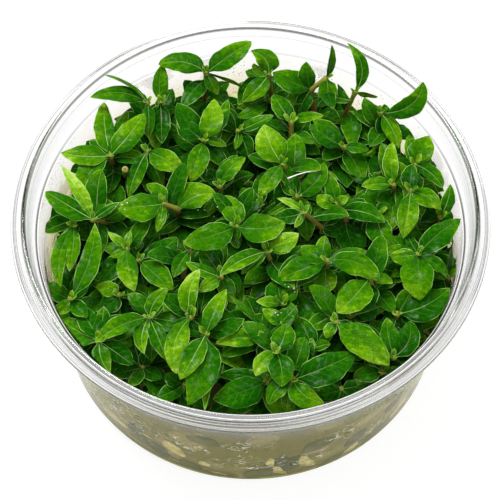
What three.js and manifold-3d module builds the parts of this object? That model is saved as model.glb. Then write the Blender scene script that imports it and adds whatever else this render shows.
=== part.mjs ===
// Staurogyne repens plantlets in a round clear culture cup, in millimetres, +Z up.
// The origin is the centre of the cup's underside.
import * as THREE from "three";
import Module from "manifold-3d";

const wasm = await Module();
wasm.setup();

// Cup
const RIM_RADIUS = 50.5; // outside of the rolled rim
const RIM_TOP = 47.3; // height of the lip's inner edge
const RIM_SKIRT = 44.5; // lowest edge of the rolled rim
const STEP_RADIUS = 45.3; // inside of the wall at the step
const STEP_HEIGHT = 40.5;
const FOOT_RADIUS = 42.1; // outside of the wall just above the rounded foot edge
const FOOT_EDGE = 5.5; // height of the rounded foot edge
const WALL = 0.7; // thickness of the plastic
const CUP_SIDES = 32;

// Gel
const GEL_TOP = 10; // height of its surface
const CLEARANCE = 0.3; // gap between touching pieces

// Plantlets
const STEM_RADIUS = 0.6;
const LEAF_THICKNESS = 0.35; // depth of the midrib's keel
const LEAF_FOLD = 0.12; // rise of the blade's edges over its midrib, as a share of its width
const STRONG_BOW = 1.4; // leaves with more sideways bow than this have three sections, the others two
const KEEP_OFF = 0.2; // room that a leaf needs round it; leaves in place hold half as much round them
const SMALLEST_EDGE = 0.1; // finer detail than this is dropped from a plantlet

// Lower whorls of four leaves, hidden under the top leaves
const WHORL_PLACES = [0.1, 0.48]; // shares of the way from the lowest node in the table to the foot
const OUTER = 29; // a plantlet nearer to the middle than this has the first whorl only
const WHORL_LENGTHS = [10, 8.5, 7, 5.5, 4]; // a leaf takes the first length that has room
const WHORL_RISES = [2, -1, 4.5]; // and the first height of its tip over its base
const WHORL_LEAF_WIDTH = 0.38; // as a share of the length
const WHORL_TURN = 0.9; // a whorl is turned by up to half of this angle in radians, to either side
const WAIST = 1.2; // radius of a whorl between its leaves
const WHORL_HEIGHT = 1; // from a whorl's middle to the plain stem above and below it

// The plantlets are set out as seen from above the front of the cup, at this point.
const EYE = new THREE.Vector3(0, -225.8, 419.9);
// A place is given by the point of this level that it covers in that view, and by its own height.
const LEVEL = 42;

// Each row is one plantlet: its stem nodes from the top down, then its leaves. Some have a lower side
// shoot as well: its node, then its leaves.
// A node is [x, y, height].
// A leaf is [node it grows from, tip x, tip y, tip height, width, sideways bow, upward bow, roll in
// degrees].
const PLANTLETS = [
  // back left
  [[[-22.6, 30.8, 43], [-22.8, 26.0, 34]], [
    [0, -35.2, 32.2, 47, 4.3, -2.0, 1.5, 0], [0, -32.3, 38.2, 49, 3.0, -1.0, 0.0, 74],
    [0, -22.3, 21.8, 40, 2.9, 0.3, 0.8, 0]]],
  [[[-19.7, 30.9, 41], [-19.9, 27.0, 33]], [
    [0, -19.5, 41.0, 45, 3.5, 0.5, 0.3, 0], [0, -19.2, 20.2, 39, 4.1, 0.0, 0.9, 0]]],
  [[[-9.8, 38.8, 44], [-10.2, 30.2, 29.5]], [
    [0, -20.4, 41.0, 46, 5.7, -1.8, 1.2, 0], [0, 0.2, 47.3, 48, 5.5, 0.2, 1.0, 0],
    [0, -1.0, 34.5, 42, 3.2, 0.4, 0.6, 74], [0, -7.2, 33.0, 40, 2.9, 0.0, 0.5, 0],
    [1, -14.6, 36.8, 36, 4.3, 0.0, 0.5, 0], [1, -16.8, 31.3, 31, 2.8, 0.3, 0.3, 0]]],
  // back, right of the middle
  [[[4.0, 38.2, 43], [4.6, 33.0, 34]], [
    [0, 0.1, 44.8, 47, 4.9, -1.5, 0.9, 0], [0, -1.7, 31.0, 39.5, 4.5, 0.3, 0.9, 0],
    [0, 0.7, 41.3, 43, 2.2, 0.6, 0.0, 0]]],
  [[[16.8, 37.4, 44], [13.3, 34.3, 41], [14.0, 28.5, 31]], [
    [0, 18.1, 46.4, 49, 2.6, -0.6, 0.5, 50], [0, 17.2, 29.8, 39.5, 4.2, 0.1, 0.9, 0],
    [1, 4.9, 38.9, 45, 6.0, 0.2, 1.0, 0], [1, 12.4, 41.8, 46.5, 3.8, 0.3, 0.6, 0],
    [1, 10.3, 27.5, 37, 3.6, -0.3, 0.6, 0]]],
  [[[23.0, 33.5, 43], [20.8, 28.0, 34], [20.0, 21.5, 26]], [
    [0, 21.6, 46.9, 50, 2.9, -2.4, 1.0, 0], [0, 28.0, 32.3, 42, 2.4, 0.3, 0.2, 60],
    [1, 23.9, 27.5, 34.5, 1.3, 0.2, 0.3, 0], [1, 19.2, 35.8, 40, 2.0, -0.5, 0.4, 0],
    [1, 26.0, 20.7, 35, 4.4, 0.4, 0.6, 0]]],
  [[[28.6, 28.0, 42], [28.9, 23.8, 36]], [
    [0, 38.1, 36.4, 52, 5.0, -2.7, 1.3, 0], [0, 32.1, 18.9, 40, 3.6, 0.6, 0.9, 0],
    [1, 25.0, 32.2, 42.5, 4.0, 0.6, 0.9, 0], [1, 24.8, 17.2, 36.5, 2.6, 1.1, 0.5, 70],
    [0, 29.4, 20.2, 35.5, 2.7, -0.2, 0.5, 0]]],
  // right
  [[[30.6, 9.6, 41], [31.0, 6.5, 33]], [
    [0, 30.8, 20.5, 43.5, 3.4, 0.4, 0.9, 0], [0, 23.8, 9.2, 41, 3.3, -0.4, 0.9, 0]]],
  [[[35.4, 14.8, 41.5], [35.2, 11.0, 35]], [
    [0, 38.8, 22.2, 43, 5.6, -0.1, 1.0, 0], [0, 34.4, 22.3, 42.5, 3.6, 0.1, 0.8, 0],
    [0, 41.1, 8.8, 41, 3.4, 0.9, 0.7, 0]]],
  [[[34.2, 8.1, 42.5], [33.5, 6.8, 36]], [
    [0, 40.4, 3.4, 41, 4.5, 0.9, 1.0, 0], [0, 32.2, -3.7, 40, 4.5, 0.2, 1.1, 0],
    [0, 34.9, 14.8, 43.5, 3.7, 0.2, 0.4, 0]]],
  [[[28.6, 10.6, 35], [28.6, 8.0, 30]], [
    [0, 20.2, 13.8, 34.5, 7.4, -0.6, 0.6, 0], [0, 27.6, 18.0, 36, 4.6, 0.4, 0.4, 0],
    [0, 25.6, 2.5, 36.5, 5.2, 0.0, 0.8, 0]]],
  [[[27.4, 2.6, 37.5], [27.2, 0.5, 31]], [
    [0, 30.1, -5.7, 37, 5.4, -1.3, 0.9, 0], [0, 29.8, 4.9, 38, 3.0, 0.5, 0.2, 0]]],
  [[[40.3, 1.6, 38], [39.0, 0.0, 32]], [
    [0, 42.8, 9.8, 42, 2.9, -0.5, 0.4, 0], [0, 34.8, 3.4, 36, 4.0, 0.2, 0.4, 0]]],
  [[[18.2, 5.0, 41], [20.2, 0.8, 35], [20.8, -1.5, 30]], [
    [0, 14.3, 7.2, 42, 3.5, 0.5, 0.7, 0], [0, 20.9, 6.4, 42.5, 2.3, 0.1, 0.4, 0],
    [0, 16.6, 12.9, 43, 3.2, -0.2, 0.5, 0], [1, 23.3, -8.5, 34, 6.4, -0.8, 0.8, 0],
    [1, 25.3, 3.5, 36, 2.0, 0.3, 0.4, 0]]],
  [[[35.2, -7.6, 42], [35.0, -9.5, 36]], [
    [0, 44.6, 1.1, 43, 5.4, 0.6, 0.9, 0], [0, 41.3, -12.5, 40, 3.2, 0.4, 0.7, 0],
    [0, 29.3, -7.8, 41, 4.2, 0.3, 0.8, 0], [0, 35.1, -18.6, 40, 7.0, -0.1, 1.2, 0],
    [0, 33.0, -2.6, 38.5, 2.4, 0.1, 0.3, 0]]],
  [[[41.3, -13.0, 36], [40.6, -14.0, 30]], [
    [0, 42.5, -4.8, 40, 2.8, 0.2, 0.3, 70]]],
  [[[30.3, -21.8, 37.5], [30.0, -23.5, 31]], [
    [0, 41.4, -15.7, 39, 6.8, -1.1, 0.9, 0]]],
  [[[29.3, -31.8, 38], [28.8, -31.0, 31]], [
    [0, 28.2, -22.8, 40, 4.0, 0.4, 0.8, 0], [0, 32.9, -23.5, 39.5, 5.2, -1.4, 0.8, 0]]],
  // middle right
  [[[16.0, -9.2, 43], [15.6, -10.6, 38], [15.6, -12.5, 32]], [
    [0, 26.9, -14.0, 40.5, 5.5, 2.2, 1.3, 0], [0, 10.7, -5.5, 42, 4.5, 0.3, 0.9, 0],
    [0, 5.7, -13.7, 41, 5.4, -0.2, 1.2, 0], [1, 15.4, -17.3, 38, 4.6, 0.2, 0.7, 0]]],
  [[[24.8, -13.4, 42], [25.7, -16.5, 34]], [
    [0, 17.9, -21.5, 41, 6.6, 0.3, 1.2, 0], [0, 29.7, -14.6, 41.5, 2.6, 0.7, 0.4, 0]]],
  [[[20.6, -22.2, 37], [20.6, -23.0, 31]], [
    [0, 26.7, -20.0, 37.5, 3.8, -0.3, 0.5, 0], [0, 18.0, -16.0, 36, 3.6, 0.0, 0.4, 0]]],
  [[[17.6, -23.8, 42], [17.4, -22.6, 35]], [
    [0, 28.2, -33.7, 40, 6.7, 0.3, 1.2, 0], [0, 15.6, -27.5, 41, 2.6, -0.3, 0.5, 0],
    [1, 10.3, -16.7, 36.5, 5.2, 0.2, 0.6, 0]]],
  // front right
  [[[8.6, -37.0, 40], [8.4, -35.5, 33]], [
    [0, 21.5, -30.9, 41, 7.0, -0.3, 1.2, 0], [0, 14.8, -42.2, 38.5, 4.8, -1.2, 0.9, 0],
    [0, 3.8, -42.7, 38.5, 3.8, -1.2, 0.8, 0]]],
  [[[5.3, -30.6, 42.5], [5.5, -31.0, 35]], [
    [0, 7.5, -24.0, 42, 4.9, -0.4, 0.9, 0], [0, 1.1, -36.2, 42, 4.0, -0.9, 0.7, 0],
    [0, 6.3, -38.5, 40.5, 5.2, 0.5, 1.0, 0]]],
  [[[26.8, -35.2, 37], [26.0, -33.0, 31]], [
    [0, 20.9, -36.3, 37, 3.8, 0.0, 0.6, 0], [0, 23.7, -32.0, 37, 1.3, 0.1, 0.2, 0]],
    [[18.4, -39.2, 30], [
      [0, 23.8, -38.4, 32, 3.8, 0.2, 0.5, 0], [0, 12.8, -40.6, 31, 4.0, 0.2, 0.5, 0],
      [0, 17.6, -43.4, 31, 3.4, -0.2, 0.4, 0]]]],
  [[[12.6, -30.2, 37.5], [12.6, -30.5, 31]], [
    [0, 9.4, -22.4, 38.5, 4.4, -0.5, 0.8, 0], [0, 16.4, -28.8, 38, 2.5, 0.3, 0.4, 0]]],
  [[[7.4, -24.3, 40], [7.2, -23.0, 33]], [
    [0, 2.5, -20.6, 40.5, 3.3, 0.1, 0.5, 0], [0, 8.4, -19.1, 40.5, 3.0, -0.6, 0.4, 0]]],
  [[[6.6, -19.5, 39.5], [6.6, -19.0, 32]], [
    [0, 1.2, -18.9, 41.5, 2.6, -0.1, 0.4, 0], [0, 5.8, -13.4, 39, 5.4, 0.3, 0.5, 0],
    [0, 9.6, -14.3, 39.5, 3.2, 0.0, 0.4, 0]]],
  // middle
  [[[11.2, 2.7, 42], [15.3, -1.3, 34]], [
    [0, 9.4, -1.0, 41, 1.5, 0.2, 0.3, 0], [0, 10.6, 5.7, 43, 1.1, 0.0, 0.1, 0],
    [0, 5.1, 1.6, 39, 3.8, 0.5, 0.5, 0], [0, 5.6, 6.2, 40, 1.8, -0.6, 0.4, 0]]],
  [[[9.8, 6.6, 40.3], [10.0, 5.0, 33]], [
    [0, 15.9, 15.2, 43, 4.3, -1.2, 0.7, 0], [0, 6.9, 12.0, 39, 2.8, 0.2, 0.4, 0],
    [0, 3.4, 2.1, 37, 2.2, 0.4, 0.5, 0]]],
  [[[6.9, 14.8, 43], [9.0, 12.0, 38], [11.0, 10.0, 33]], [
    [0, 3.0, 25.1, 44.5, 6.9, 0.6, 1.1, 0], [0, 1.9, 6.6, 41.5, 3.9, -0.3, 1.0, 0]]],
  [[[8.9, 25.9, 40], [8.8, 19.2, 33]], [
    [0, 5.0, 33.0, 41.5, 4.3, 0.1, 0.7, 0], [0, 15.9, 27.4, 41, 2.6, 0.4, 0.5, 0],
    [1, 15.3, 19.4, 37, 2.7, 0.6, 0.5, 0]]],
  [[[20.2, 19.2, 39.5], [20.0, 18.5, 33]], [
    [0, 12.9, 25.0, 40.5, 5.0, 0.2, 0.8, 0], [0, 25.6, 18.5, 39, 2.8, 0.4, 0.5, 0]]],
  [[[4.0, 31.2, 38.3], [3.6, 30.0, 32]], [
    [0, -2.8, 27.0, 38, 3.1, 0.4, 0.6, 0], [0, 2.8, 25.5, 35, 3.4, 0.0, 0.4, 0]]],
  [[[-2.6, 23.3, 40], [-2.6, 22.0, 33]], [
    [0, 5.0, 27.4, 42, 3.0, 0.0, 0.6, 0], [0, -3.3, 18.7, 39.5, 1.7, 0.2, 0.4, 0],
    [0, -0.4, 16.3, 37, 4.4, 0.3, 0.5, 0]]],
  [[[-6.6, 9.2, 40.3], [-6.2, 8.0, 34]], [
    [0, -1.1, 16.5, 42, 4.0, 1.1, 0.8, 0], [0, -9.0, 13.6, 38, 3.2, 0.0, 0.4, 0]]],
  [[[1.6, 4.2, 37], [1.4, 3.0, 31]], [
    [0, -1.9, 9.0, 38, 4.0, 0.2, 0.5, 0], [0, 2.0, 12.0, 37, 3.4, 0.0, 0.4, 0]]],
  [[[-2.9, -0.8, 43], [-2.8, 0.5, 35]], [
    [0, 7.3, 0.2, 43, 7.1, -1.0, 1.3, 0], [0, -14.1, -4.9, 42.5, 6.5, 0.3, 1.4, 0],
    [0, -5.8, 6.8, 42.5, 4.8, -0.8, 0.9, 0], [0, -3.0, -4.5, 41, 1.5, 0.1, 0.5, 0]]],
  [[[3.4, -6.9, 42], [5.0, -11.5, 34.5]], [
    [0, -6.3, -12.7, 42.5, 3.7, -0.9, 0.8, 0], [0, -2.0, -12.4, 40.5, 2.2, 0.2, 0.5, 0],
    [0, 10.2, -2.5, 43.5, 4.8, 0.0, 0.6, 0]]],
  // front middle and left
  [[[2.6, -28.2, 41], [1.8, -27.0, 34]], [
    [0, -7.1, -28.8, 39.5, 4.8, -1.1, 0.9, 0], [0, 2.4, -33.0, 37, 3.2, 0.2, 0.4, 0],
    [1, -5.6, -34.4, 33, 4.4, 0.3, 0.5, 0]]],
  [[[2.3, -24.9, 40], [1.6, -25.6, 33]], [
    [0, -4.3, -17.5, 43, 3.0, 0.0, 0.3, 58], [0, -6.8, -23.8, 36.5, 4.8, -1.0, 0.6, 0]]],
  [[[3.2, -37.4, 38], [3.2, -36.0, 31]], [
    [0, -7.6, -41.3, 37.5, 6.8, 0.5, 1.0, 0], [0, -6.4, -35.9, 36, 3.4, -0.7, 0.5, 0]]],
  [[[-9.2, -26.6, 42.5], [-9.0, -27.0, 35]], [
    [0, -5.0, -16.0, 43, 3.9, 0.3, 1.0, 0], [0, -14.3, -36.9, 42, 4.5, 0.1, 1.1, 0],
    [0, -12.6, -42.7, 39.5, 6.7, 0.8, 1.0, 0], [0, -9.2, -43.9, 38.5, 2.5, 0.3, 0.6, 0]],
    [[-13.5, -38.2, 31], [
      [0, -18.9, -41.0, 32, 3.8, 0.2, 0.5, 0], [0, -8.0, -42.6, 31, 4.2, -0.2, 0.5, 0],
      [0, -17.2, -35.6, 33, 3.4, 0.2, 0.4, 0], [0, -6.2, -36.6, 33, 3.8, 0.2, 0.5, 0]]]],
  [[[-12.4, -22.6, 42], [-11.0, -23.2, 34]], [
    [0, -15.0, -35.6, 41, 4.6, -1.9, 1.1, 0], [0, -10.6, -11.2, 43.5, 4.0, 1.2, 1.0, 0],
    [0, -16.8, -24.7, 40, 2.0, 0.2, 0.5, 0]]],
  [[[-6.2, -13.1, 40.3], [-6.0, -12.0, 33]], [
    [0, -10.5, -16.7, 41, 3.2, -0.4, 0.6, 0], [0, -13.5, -9.5, 41, 3.0, 0.2, 0.7, 0]]],
  [[[-12.6, -6.6, 40], [-14.2, -13.8, 34]], [
    [0, -16.1, -13.2, 40, 3.4, -0.4, 0.7, 0], [1, -17.9, -21.5, 37, 4.4, 0.2, 0.7, 0]]],
  [[[-20.9, -22.6, 41], [-20.3, -22.9, 34]], [
    [0, -31.8, -28.5, 41, 4.1, -1.1, 1.0, 0], [0, -17.3, -15.8, 42.5, 3.4, 0.8, 0.8, 0],
    [0, -21.7, -31.1, 39.5, 3.1, -1.0, 0.8, 0], [0, -17.0, -32.7, 39, 3.7, 0.1, 0.9, 0]],
    [[-22.0, -34.2, 31], [
      [0, -25.0, -38.5, 33, 2.6, 0.3, 0.4, 0], [0, -27.8, -35.6, 33, 3.8, 0.1, 0.5, 0],
      [0, -17.9, -36.6, 32, 3.2, -0.2, 0.4, 0], [0, -20.5, -29.6, 33, 3.2, 0.2, 0.4, 0]]]],
  [[[-31.0, -28.2, 40.5], [-30.6, -27.5, 33]], [
    [0, -39.6, -22.6, 36, 5.4, 0.5, 1.0, 0], [0, -36.4, -19.3, 38.5, 4.4, -0.3, 0.8, 0],
    [0, -28.5, -35.4, 38.5, 3.7, -0.8, 0.7, 0], [0, -24.0, -33.6, 37, 4.3, 0.1, 0.7, 0],
    [0, -26.3, -22.0, 39, 3.9, 0.7, 0.6, 0]]],
  // left
  [[[-27.4, -17.4, 38], [-27.0, -18.0, 31]], [
    [0, -32.2, -15.4, 38.5, 3.7, -0.6, 0.5, 0], [0, -31.2, -21.0, 36, 4.4, 0.4, 0.5, 0]]],
  [[[-23.3, -9.0, 39], [-23.3, -10.0, 33]], [
    [0, -16.2, -16.2, 40, 5.0, 0.0, 0.9, 0], [0, -15.6, -3.4, 38, 5.2, -0.8, 0.7, 0]]],
  [[[-37.3, -18.2, 40.5], [-36.8, -19.0, 33]], [
    [0, -33.0, 0.0, 42.5, 4.4, -1.3, 1.4, 0], [0, -39.7, -22.0, 37.5, 3.0, 0.2, 0.4, 0],
    [0, -33.6, -22.6, 38, 3.4, -0.2, 0.5, 0]]],
  [[[-37.4, -0.6, 41], [-37.2, 0.6, 34]], [
    [0, -39.4, -15.4, 39.5, 3.3, -1.6, 0.9, 0], [0, -37.9, -11.7, 40, 3.4, 0.3, 0.8, 0],
    [0, -41.4, -8.4, 39.5, 2.0, -0.5, 0.5, 0]]],
  [[[-33.4, 0.9, 42.3], [-30.4, 0.1, 34]], [
    [0, -43.8, 7.9, 42.5, 4.8, 0.1, 0.9, 0], [0, -28.0, 5.2, 43, 2.1, 0.1, 0.4, 0],
    [0, -38.0, 7.3, 41, 4.4, 0.3, 0.5, 0], [0, -40.8, 14.5, 43, 3.0, -0.4, 0.9, 0],
    [0, -31.2, 11.7, 39.5, 3.4, 0.1, 0.6, 0]]],
  [[[-30.2, 17.0, 42], [-29.8, 15.0, 34]], [
    [0, -23.2, 27.9, 43, 5.5, -0.3, 1.0, 0], [0, -41.0, 17.7, 43, 5.3, 0.5, 1.0, 0],
    [0, -32.1, 30.9, 43, 4.4, 0.5, 0.8, 0], [0, -35.4, 7.1, 41, 5.0, -1.9, 1.0, 0],
    [0, -26.8, 28.6, 40.5, 2.8, 0.4, 0.4, 0], [0, -35.0, 20.8, 41.5, 3.2, -0.3, 0.5, 0]]],
  [[[-26.0, -6.2, 41], [-26.0, -8.0, 34]], [
    [0, -24.1, -16.5, 40, 4.4, -0.5, 0.9, 0], [0, -30.1, -2.1, 42, 1.9, 0.1, 0.4, 0],
    [0, -25.3, -1.7, 42, 1.7, 0.2, 0.3, 0], [0, -29.5, -8.0, 40.5, 2.0, 0.3, 0.3, 0],
    [0, -28.0, -15.0, 37.5, 2.8, 0.6, 0.5, 0]]],
  // middle left
  [[[-18.6, 4.8, 42], [-15.4, 3.5, 39.5], [-15.2, 2.0, 33]], [
    [0, -28.4, 3.9, 42, 7.0, 0.2, 1.3, 0], [0, -22.4, 9.6, 41, 3.4, -1.3, 0.7, 0],
    [0, -19.8, -2.0, 41, 2.2, 0.2, 0.6, 0], [1, -7.4, 7.4, 42, 6.6, 1.3, 1.1, 0]]],
  [[[-10.1, 20.9, 43], [-10.4, 18.5, 35]], [
    [0, -8.0, 31.8, 45, 5.0, -0.5, 1.0, 0], [0, -12.6, 10.4, 41.5, 4.6, -0.3, 1.1, 0],
    [0, -15.7, 26.6, 42, 4.8, 0.3, 0.8, 0], [0, -4.9, 31.7, 42, 3.6, -0.4, 0.6, 0],
    [0, -5.2, 19.4, 40.5, 2.2, 0.4, 0.4, 0]]],
  [[[-22.3, 18.2, 41.5], [-22.3, 16.0, 34]], [
    [0, -14.7, 13.3, 41, 5.4, 0.3, 1.0, 0], [0, -26.0, 6.2, 38, 3.4, -0.6, 0.9, 0]]],
];

// The point at height z that covers the point (x, y) of the level in the view.
function seen(x, y, z) {
  const onLevel = new THREE.Vector3(x, y, LEVEL);
  return EYE.clone().lerp(onLevel, (EYE.z - z) / (EYE.z - LEVEL));
}

// A number from 0 to 1 that looks random and is the same each time.
function scatter(n) {
  const wave = Math.sin(12.9898 * n) * 43758.5453;
  return wave - Math.floor(wave);
}

// The radius that the wall leaves free at height z.
function freeRadius(z) {
  const share = Math.min(z / STEP_HEIGHT, 1);
  const wall = FOOT_RADIUS - WALL + (STEP_RADIUS - FOOT_RADIUS + WALL) * share;
  return wall - 2 * CLEARANCE + 0.35 * Math.max(z - STEP_HEIGHT, 0);
}

// Moves a point inward where it would touch the wall.
function keepInside(point) {
  const radius = Math.hypot(point.x, point.y);
  const free = freeRadius(point.z);
  if (radius > free) {
    point.x *= free / radius;
    point.y *= free / radius;
  }
  return point;
}

// A closed solid from points and triangles, turned right side out.
function solidFrom(points, triangles) {
  const made = (order) =>
    new wasm.Manifold(
      new wasm.Mesh({
        numProp: 3,
        vertProperties: new Float32Array(points.flatMap((p) => [p.x, p.y, p.z])),
        triVerts: new Uint32Array(triangles.flatMap(order)),
      }),
    );
  const solid = made((t) => t);
  return solid.volume() > 0 ? solid : made(([a, b, c]) => [a, c, b]);
}

// Joins rings of points into a closed solid with a point at each end.
// A ring has `count` points, or twice as many where every other one is a valley between two of its points.
function ringSolid(first, rings, last, count) {
  const points = [first, ...rings.flat(), last];
  const starts = rings.map((_, r) => 1 + rings.slice(0, r).flat().length);
  const triangles = [];
  const at = (r, i) => starts[r] + (i % count) * (rings[r].length / count);
  for (let i = 0; i < count; i++) {
    triangles.push([0, at(0, i + 1), at(0, i)]);
    triangles.push([points.length - 1, at(rings.length - 1, i), at(rings.length - 1, i + 1)]);
    for (let r = 0; r + 1 < rings.length; r++) {
      const [a, b, c, d] = [at(r, i), at(r, i + 1), at(r + 1, i), at(r + 1, i + 1)];
      if (rings[r + 1].length > count) triangles.push([a, c + 1, c], [a, b, c + 1], [b, d, c + 1]);
      else if (rings[r].length > count) triangles.push([a, a + 1, c], [a + 1, d, c], [a + 1, b, d]);
      else triangles.push([a, b, c], [b, d, c]);
    }
  }
  return solidFrom(points, triangles);
}

// A leaf along a bowed line, set out as seen: its blade is flat on top, with a keel below.
function leafSolid(base, leaf, heightShift, room = 0) {
  const [, tipX, tipY, tipZ, width, bowSide, bowUp, roll] = leaf;
  const tip = new THREE.Vector3(tipX, tipY, tipZ + heightShift);
  const chord = tip.clone().sub(base);
  const left = new THREE.Vector3(-chord.y, chord.x, 0).normalize();
  const middle = base.clone().add(tip).multiplyScalar(0.5).addScaledVector(left, 2 * bowSide);
  middle.z += 2 * bowUp;
  const line = new THREE.QuadraticBezierCurve3(base, middle, tip);
  const turn = THREE.MathUtils.degToRad(roll);
  const bowed = Math.abs(bowSide) > STRONG_BOW;
  const rings = (bowed ? [0.24, 0.52, 0.8] : [0.3, 0.68]).map((t) => {
    const centre = line.getPoint(t);
    const along = line.getTangent(t);
    const side = new THREE.Vector3(-along.y, along.x, 0).normalize();
    const half = (width / 2) * Math.sin(Math.PI * t ** 0.9) ** 0.75 + room;
    const point = (across, raised) => {
      const p = centre.clone().addScaledVector(side, across * Math.cos(turn));
      return keepInside(seen(p.x, p.y, p.z + across * Math.sin(turn) + raised));
    };
    const lift = 2 * LEAF_FOLD * half;
    return [point(half, lift + room), point(-half, lift + room), point(0, -LEAF_THICKNESS - room)];
  });
  return ringSolid(seen(...base), rings, keepInside(seen(...tip)), 3);
}

// The point at an angle and a distance from a stem's line, square to it.
function around(centre, along, angle, distance) {
  const side = new THREE.Vector3(0, 1, 0).cross(along).normalize();
  const up = along.clone().cross(side);
  const outward = side.multiplyScalar(Math.cos(angle)).addScaledVector(up, Math.sin(angle));
  return centre.clone().addScaledVector(outward, distance);
}

// Four corners of a stem's section at a point, or a whorl's leaf tips with a waist between each two.
function stemRing(centre, along, tips, turn = 0) {
  return [0, 1, 2, 3].flatMap((k) => {
    const angle = (Math.PI / 2) * k + turn;
    return tips
      ? [tips[k], around(centre, along, angle + Math.PI / 4, WAIST)]
      : [around(centre, along, angle, STEM_RADIUS)];
  });
}

// A stem through the given points, with a blunt bud on top and its whorls on the last stretch.
function stemSolid(points, whorls) {
  const bud = points[0].clone().sub(points[1]).setLength(1.2 * STEM_RADIUS).add(points[0]);
  const foot = points[points.length - 1];
  const rings = points.slice(0, -1).map((p, i) => {
    const before = points[Math.max(i - 1, 0)];
    return stemRing(p, points[i + 1].clone().sub(before).normalize());
  });
  const along = foot.clone().sub(points[points.length - 2]).normalize();
  for (const { centre, tips, turn } of whorls) {
    rings.push(stemRing(centre.clone().addScaledVector(along, -WHORL_HEIGHT), along));
    rings.push(stemRing(centre, along, tips, turn));
    rings.push(stemRing(centre.clone().addScaledVector(along, WHORL_HEIGHT), along));
  }
  rings.push(stemRing(foot, along));
  return ringSolid(bud, rings, foot, 4);
}

// A solid turned about the vertical axis from a profile of [radius, height] pairs.
function turned(profile) {
  const outline = profile.map(([r, z]) => new THREE.Vector2(r, z));
  return new THREE.LatheGeometry(outline, CUP_SIDES).rotateX(Math.PI / 2);
}

const root = new THREE.Group();

function addPiece(name, geometry, color, roughness, options = {}) {
  const material = new THREE.MeshStandardMaterial({ color, roughness, metalness: 0, ...options });
  const mesh = new THREE.Mesh(geometry, material);
  mesh.name = name;
  root.add(mesh);
}

// Cup: foot, wall, step, clear band, lip and rolled rim in one skin
addPiece(
  "cup",
  turned([
    [0, 0.9], [34, 0.9], [35.5, 0], [38.5, 0], [41.3, 2.0], [FOOT_RADIUS, FOOT_EDGE],
    [STEP_RADIUS + WALL, STEP_HEIGHT - 0.6], [STEP_RADIUS + WALL + 0.6, STEP_HEIGHT + 0.2],
    [47.9, RIM_TOP - 1.0], [49.4, RIM_SKIRT + 1.0], [49.8, RIM_SKIRT], [50.4, RIM_SKIRT],
    [RIM_RADIUS, RIM_SKIRT + 0.9], [49.4, RIM_TOP - 1.0], [48.2, RIM_TOP - 0.3], [47.6, RIM_TOP],
    [47.25, RIM_TOP - 0.3], [STEP_RADIUS + 0.6, STEP_HEIGHT + 0.4], [STEP_RADIUS, STEP_HEIGHT],
    [FOOT_RADIUS - WALL, FOOT_EDGE + 0.1], [40.6, 2.7], [38, 1.6], [0, 1.6],
  ]),
  0xe8e6df,
  0.15,
  { transparent: true, opacity: 0.3 },
);

// Gel: a disc that fills the bottom of the cup
addPiece(
  "culture_gel",
  turned([
    [0, 1.6 + CLEARANCE], [37.9, 1.6 + CLEARANCE], [40.2, 2.9],
    [FOOT_RADIUS - WALL - CLEARANCE, FOOT_EDGE + 0.4], [41.4, GEL_TOP], [0, GEL_TOP],
  ]),
  0xcfc6a6,
  0.4,
);

// Places that are tried in turn for a stem's foot and for the height of a leaf's tip
const FOOT_SHIFTS = [
  [0, 0], [2, 0], [-2, 0], [0, 2], [0, -2], [2.5, 2.5], [-2.5, 2.5], [2.5, -2.5], [-2.5, -2.5],
];
const HEIGHT_SHIFTS = [0, 0.8, -0.8, 1.6, -1.6, 2.4, -2.4, 3.2, -3.2, 4, -4];

const SIDE_FORK = 14; // height at which a side shoot leaves its plantlet's stem

const placed = []; // the solids that hold a place so far, each with the number of its plantlet

function hold(number, solid) {
  placed.push({ number, solid, box: solid.boundingBox() });
}

function isFree(number, solid) {
  const box = solid.boundingBox();
  return !placed.some((other) => {
    if (other.number === number) return false;
    if ([0, 1, 2].some((k) => box.min[k] > other.box.max[k] || box.max[k] < other.box.min[k])) return false;
    return solid.intersect(other.solid).volume() > 1e-6;
  });
}

// Stems without leaves, each on the first free foot
const stems = PLANTLETS.map(([nodes], number) => {
  const top = nodes.map((node) => keepInside(seen(...node)));
  const last = top[top.length - 1];
  const points = FOOT_SHIFTS.map(([dx, dy]) => [
    ...top,
    new THREE.Vector3(0.93 * last.x + dx, 0.93 * last.y + dy, GEL_TOP + CLEARANCE),
  ]).find((tried) => isFree(number, stemSolid(tried, [])));
  if (!points) throw new Error("plantlet " + (number + 1) + " has no free foot");
  hold(number, stemSolid(points, []));
  return points;
});

// Leaves from a row of the table, each at the first free height
function placeLeaves(number, nodes, leaves) {
  return leaves.map((leaf) => {
    const base = new THREE.Vector3(...nodes[leaf[0]]);
    const shift = HEIGHT_SHIFTS.find((dz) => isFree(number, leafSolid(base, leaf, dz, KEEP_OFF)));
    if (shift === undefined) throw new Error("plantlet " + (number + 1) + " has a leaf with no room");
    hold(number, leafSolid(base, leaf, shift, 0.5 * KEEP_OFF));
    return leafSolid(base, leaf, shift);
  });
}

// The leaves of the table's own stems, row by row
const topLeaves = PLANTLETS.map(([nodes, leaves], number) => placeLeaves(number, nodes, leaves));

// Side shoots: a stem that forks from the plantlet's own near its foot, with a few leaves
const sideShoots = PLANTLETS.map(([, , side], number) => {
  if (!side) return [];
  const [node, leaves] = side;
  const [low, foot] = stems[number].slice(-2);
  const fork = low.clone().lerp(foot, (low.z - SIDE_FORK) / (low.z - foot.z));
  const stem = stemSolid([keepInside(seen(...node)), fork], []);
  if (!isFree(number, stem)) throw new Error("the side shoot of plantlet " + (number + 1) + " has no room");
  hold(number, stem);
  return [stem, ...placeLeaves(number, [node], leaves)];
});

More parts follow.
